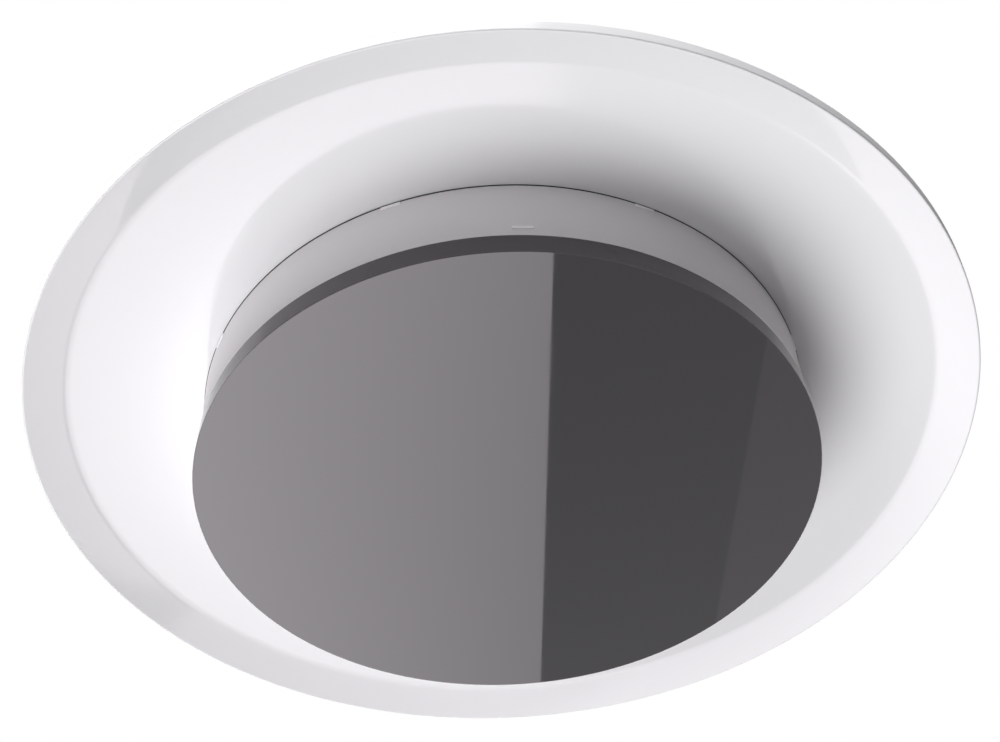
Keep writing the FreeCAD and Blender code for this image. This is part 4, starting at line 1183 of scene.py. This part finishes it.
SUNS = {
    "main_light": Sun(toward=(-0.37, -0.873, -0.318), power=2.45, spread=50),
    "upper_light": Sun(toward=(-0.641, -0.423, 0.641), power=0.75, spread=30),
    "rear_light": Sun(toward=(-0.375, 0.64, 0.65), power=4.0, spread=50),
}
CARDS = {
    # Large card in front, on the left
    "key_card": Card(
        place=(-0.447, -0.598, -0.818),
        turned=(65.8, -15.39, 159.43),
        size=(1.05, 1.4),
        glow=(3.75, 5.5),
        fade=0.35,
        ends=(0.3, 1.3),
    ),
    # Faint card on the right
    "side_card": Card(
        place=(0.9457, -1.8973, -2.1668),
        turned=(49.255, 2.603, -156.353),
        size=(1.0, 2.4),
        glow=(1.25, 1.25),
    ),
    # Bright card on the right
    "right_card": Card(
        place=(0.891, -1.48, -2.601),
        turned=(49.31, 0, -154.11),
        size=(0.89, 3.5),
        ends=(1.8, 4.9),
    ),
    # Card straight in front
    "front_card": Card(
        place=(0.243, -2.829, -1.092),
        turned=(78.41, 0, -174.11),
        size=(1.9, 1.7),
        glow=(4.0, 4.0),
    ),
    # Bright and grey cards behind the light
    "back_card": Card(place=(-0.485, 1.3, 0.12), turned=(90, 0, 0), size=(1.43, 2.05), glow=(3.0, 3.0)),
    "flag_card": Card(place=(0.95, 1.3, -0.5), turned=(90, 0, 0), size=(1.3, 2.2), ends=(0.1, 0.9)),
}


def bare(name):
    """Material with nothing but its output, and the socket for what it shows."""
    material = bpy.data.materials.new(name)
    material.use_nodes = True
    nodes = material.node_tree.nodes
    nodes.remove(nodes["Principled BSDF"])
    return material, nodes["Material Output"].inputs["Surface"]


class WALL_LIGHT_OT_stage(bpy.types.Operator):
    """Camera, white surroundings, pale floor, soft lights and the cards that shiny pieces mirror"""

    bl_idname = "wall_light.stage"
    bl_label = "Stage"

    SENSOR = 36  # width of the camera's picture in millimetres
    NEAREST = 10 * MM  # nearest that the camera sees
    FLOOR_SIZE = 60
    FLOOR_COLOUR = (0.8, 0.8, 0.8)
    SHADE_REACH = 0.5  # how far off a thing still shades the floor
    EDGE = 0.5  # a card's edge in its own coordinates

    def execute(self, context):
        stage = context.scene.wall_light.stage
        self.camera(context.scene, stage)
        self.world(context.scene, stage)
        self.floor(stage)
        for name, sun in SUNS.items():
            self.sun(name, sun, stage.lamp_tint)
        for name, card in CARDS.items():
            self.card(name, card, stage.card_tint)
        context.scene.view_settings.view_transform = "Standard"
        return {"FINISHED"}

    def camera(self, scene, stage):
        data = bpy.data.cameras.new("camera")
        data.lens = stage.lens
        data.sensor_width = self.SENSOR
        data.clip_start = self.NEAREST
        camera = bpy.data.objects.new("camera", data)
        scene.collection.objects.link(camera)
        lean = Matrix.Rotation(stage.camera_tilt, 4, "X") @ Matrix.Rotation(stage.camera_roll, 4, "Z")
        camera.matrix_world = Matrix.Translation(stage.camera_place) @ lean
        scene.camera = camera

    def seen(self, owner):
        """1 for what the camera sees, also in a mirror or through glass, and 0 for light on surfaces."""
        path = add(owner, "ShaderNodeLightPath", {})
        inputs = {0: path.outputs["Is Camera Ray"], 1: path.outputs["Is Glossy Ray"]}
        either = add(owner, "ShaderNodeMath", inputs, operation="MAXIMUM")
        inputs = {0: either.outputs["Value"], 1: path.outputs["Is Transmission Ray"]}
        return add(owner, "ShaderNodeMath", inputs, operation="MAXIMUM").outputs["Value"]

    def world(self, scene, stage):
        """White where it is seen, and a dim even light on surfaces."""
        world = bpy.data.worlds.new("White studio")
        world.use_nodes = True
        scene.world = world
        background = world.node_tree.nodes["Background"]
        background.inputs["Color"].default_value = (1, 1, 1, 1)
        inputs = {"Value": self.seen(world), "To Min": stage.fill, "To Max": 1}
        strength = add(world, "ShaderNodeMapRange", inputs)
        world.node_tree.links.new(strength.outputs["Result"], background.inputs["Strength"])

    def floor(self, stage):
        """Wide pale floor, white where it is seen but for the shade under the light."""
        bpy.ops.mesh.primitive_plane_add(size=self.FLOOR_SIZE, location=(0, 0, -stage.floor_drop))
        floor = bpy.context.object
        floor.name = "floor"
        material, shown = bare("Pale floor")
        matt = add(material, "ShaderNodeBsdfDiffuse", {"Color": opaque(self.FLOOR_COLOUR)})
        shade_under = add(material, "ShaderNodeAmbientOcclusion", {"Distance": self.SHADE_REACH})
        glow = add(material, "ShaderNodeEmission", {"Color": shade_under.outputs["Color"]})
        shaders = {"Fac": self.seen(material), 1: matt.outputs["BSDF"], 2: glow.outputs["Emission"]}
        mix = add(material, "ShaderNodeMixShader", shaders)
        material.node_tree.links.new(mix.outputs["Shader"], shown)
        floor.data.materials.append(material)
        floor.visible_diffuse = False
        floor.visible_shadow = False

    def sun(self, name, sun, tint):
        """Lamp that shows in no mirror."""
        data = bpy.data.lights.new(name, "SUN")
        data.color = tint
        data.energy = sun.power
        data.angle = math.radians(sun.spread)
        lamp = bpy.data.objects.new(name, data)
        lamp.matrix_world = Vector(sun.toward).to_track_quat("Z", "Y").to_matrix().to_4x4()
        lamp.visible_glossy = False
        bpy.context.scene.collection.objects.link(lamp)

    def card(self, name, card, tint):
        """Plane that shows only in what shines, brightens over its width and height, and has a dark back."""
        bpy.ops.mesh.primitive_plane_add(size=1)
        plane = bpy.context.object
        plane.name = name
        width, height = card.size
        turned = Euler([math.radians(degrees) for degrees in card.turned])
        plane.matrix_world = Matrix.LocRotScale(card.place, turned, (width, height, 1))
        material, shown = bare(name)
        place = add(material, "ShaderNodeTexCoord", {})
        axes = add(material, "ShaderNodeSeparateXYZ", {"Vector": place.outputs["Object"]})
        dim, bright = card.glow
        faded = card.fade / width - self.EDGE
        spans = {"From Min": -self.EDGE, "From Max": faded, "To Min": dim, "To Max": bright}
        sideways = add(material, "ShaderNodeMapRange", {"Value": axes.outputs["X"], **spans})
        foot, head = card.ends
        spans = {"From Min": -self.EDGE, "From Max": self.EDGE, "To Min": foot, "To Max": head}
        upwards = add(material, "ShaderNodeMapRange", {"Value": axes.outputs["Y"], **spans})
        inputs = {0: sideways.outputs["Result"], 1: upwards.outputs["Result"]}
        both = add(material, "ShaderNodeMath", inputs, operation="MULTIPLY")
        side = add(material, "ShaderNodeNewGeometry", {})
        front = add(material, "ShaderNodeMath", {0: 1.0, 1: side.outputs["Backfacing"]}, operation="SUBTRACT")
        inputs = {0: both.outputs["Value"], 1: front.outputs["Value"]}
        strength = add(material, "ShaderNodeMath", inputs, operation="MULTIPLY")
        inputs = {"Color": opaque(tint), "Strength": strength.outputs["Value"]}
        light = add(material, "ShaderNodeEmission", inputs)
        material.node_tree.links.new(light.outputs["Emission"], shown)
        plane.data.materials.append(material)
        plane.visible_camera = False
        plane.visible_diffuse = False
        plane.visible_shadow = False


class WALL_LIGHT_PT_pieces(bpy.types.Panel):
    """Lists the pieces of the light and its stage"""

    bl_idname = "WALL_LIGHT_PT_pieces"
    bl_label = "Wall light"
    bl_space_type = "VIEW_3D"
    bl_region_type = "UI"
    bl_category = "Wall light"

    def draw(self, context):
        for operator in OPERATORS:
            self.layout.operator(operator.bl_idname)


SETTINGS = (DishSizes, DrumSizes, CapSizes, TraySizes, GearSizes, Finishes, StageSettings, WallLight)
OPERATORS = (
    WALL_LIGHT_OT_dish,
    WALL_LIGHT_OT_drum,
    WALL_LIGHT_OT_cap,
    WALL_LIGHT_OT_seals,
    WALL_LIGHT_OT_tray,
    WALL_LIGHT_OT_carrier,
    WALL_LIGHT_OT_leds,
    WALL_LIGHT_OT_small_parts,
    WALL_LIGHT_OT_stage,
)
CLASSES = (*SETTINGS, *OPERATORS, WALL_LIGHT_PT_pieces)


def register():
    for each in CLASSES:
        bpy.utils.register_class(each)
    bpy.types.Scene.wall_light = PointerProperty(type=WallLight)


def unregister():
    del bpy.types.Scene.wall_light
    for each in reversed(CLASSES):
        bpy.utils.unregister_class(each)


def main():
    register()
    bpy.ops.wall_light.dish()
    bpy.ops.wall_light.drum()
    bpy.ops.wall_light.cap()
    bpy.ops.wall_light.seals()
    bpy.ops.wall_light.tray()
    bpy.ops.wall_light.carrier()
    bpy.ops.wall_light.leds()
    bpy.ops.wall_light.small_parts()
    bpy.ops.wall_light.stage()


if __name__ == "__main__":
    main()
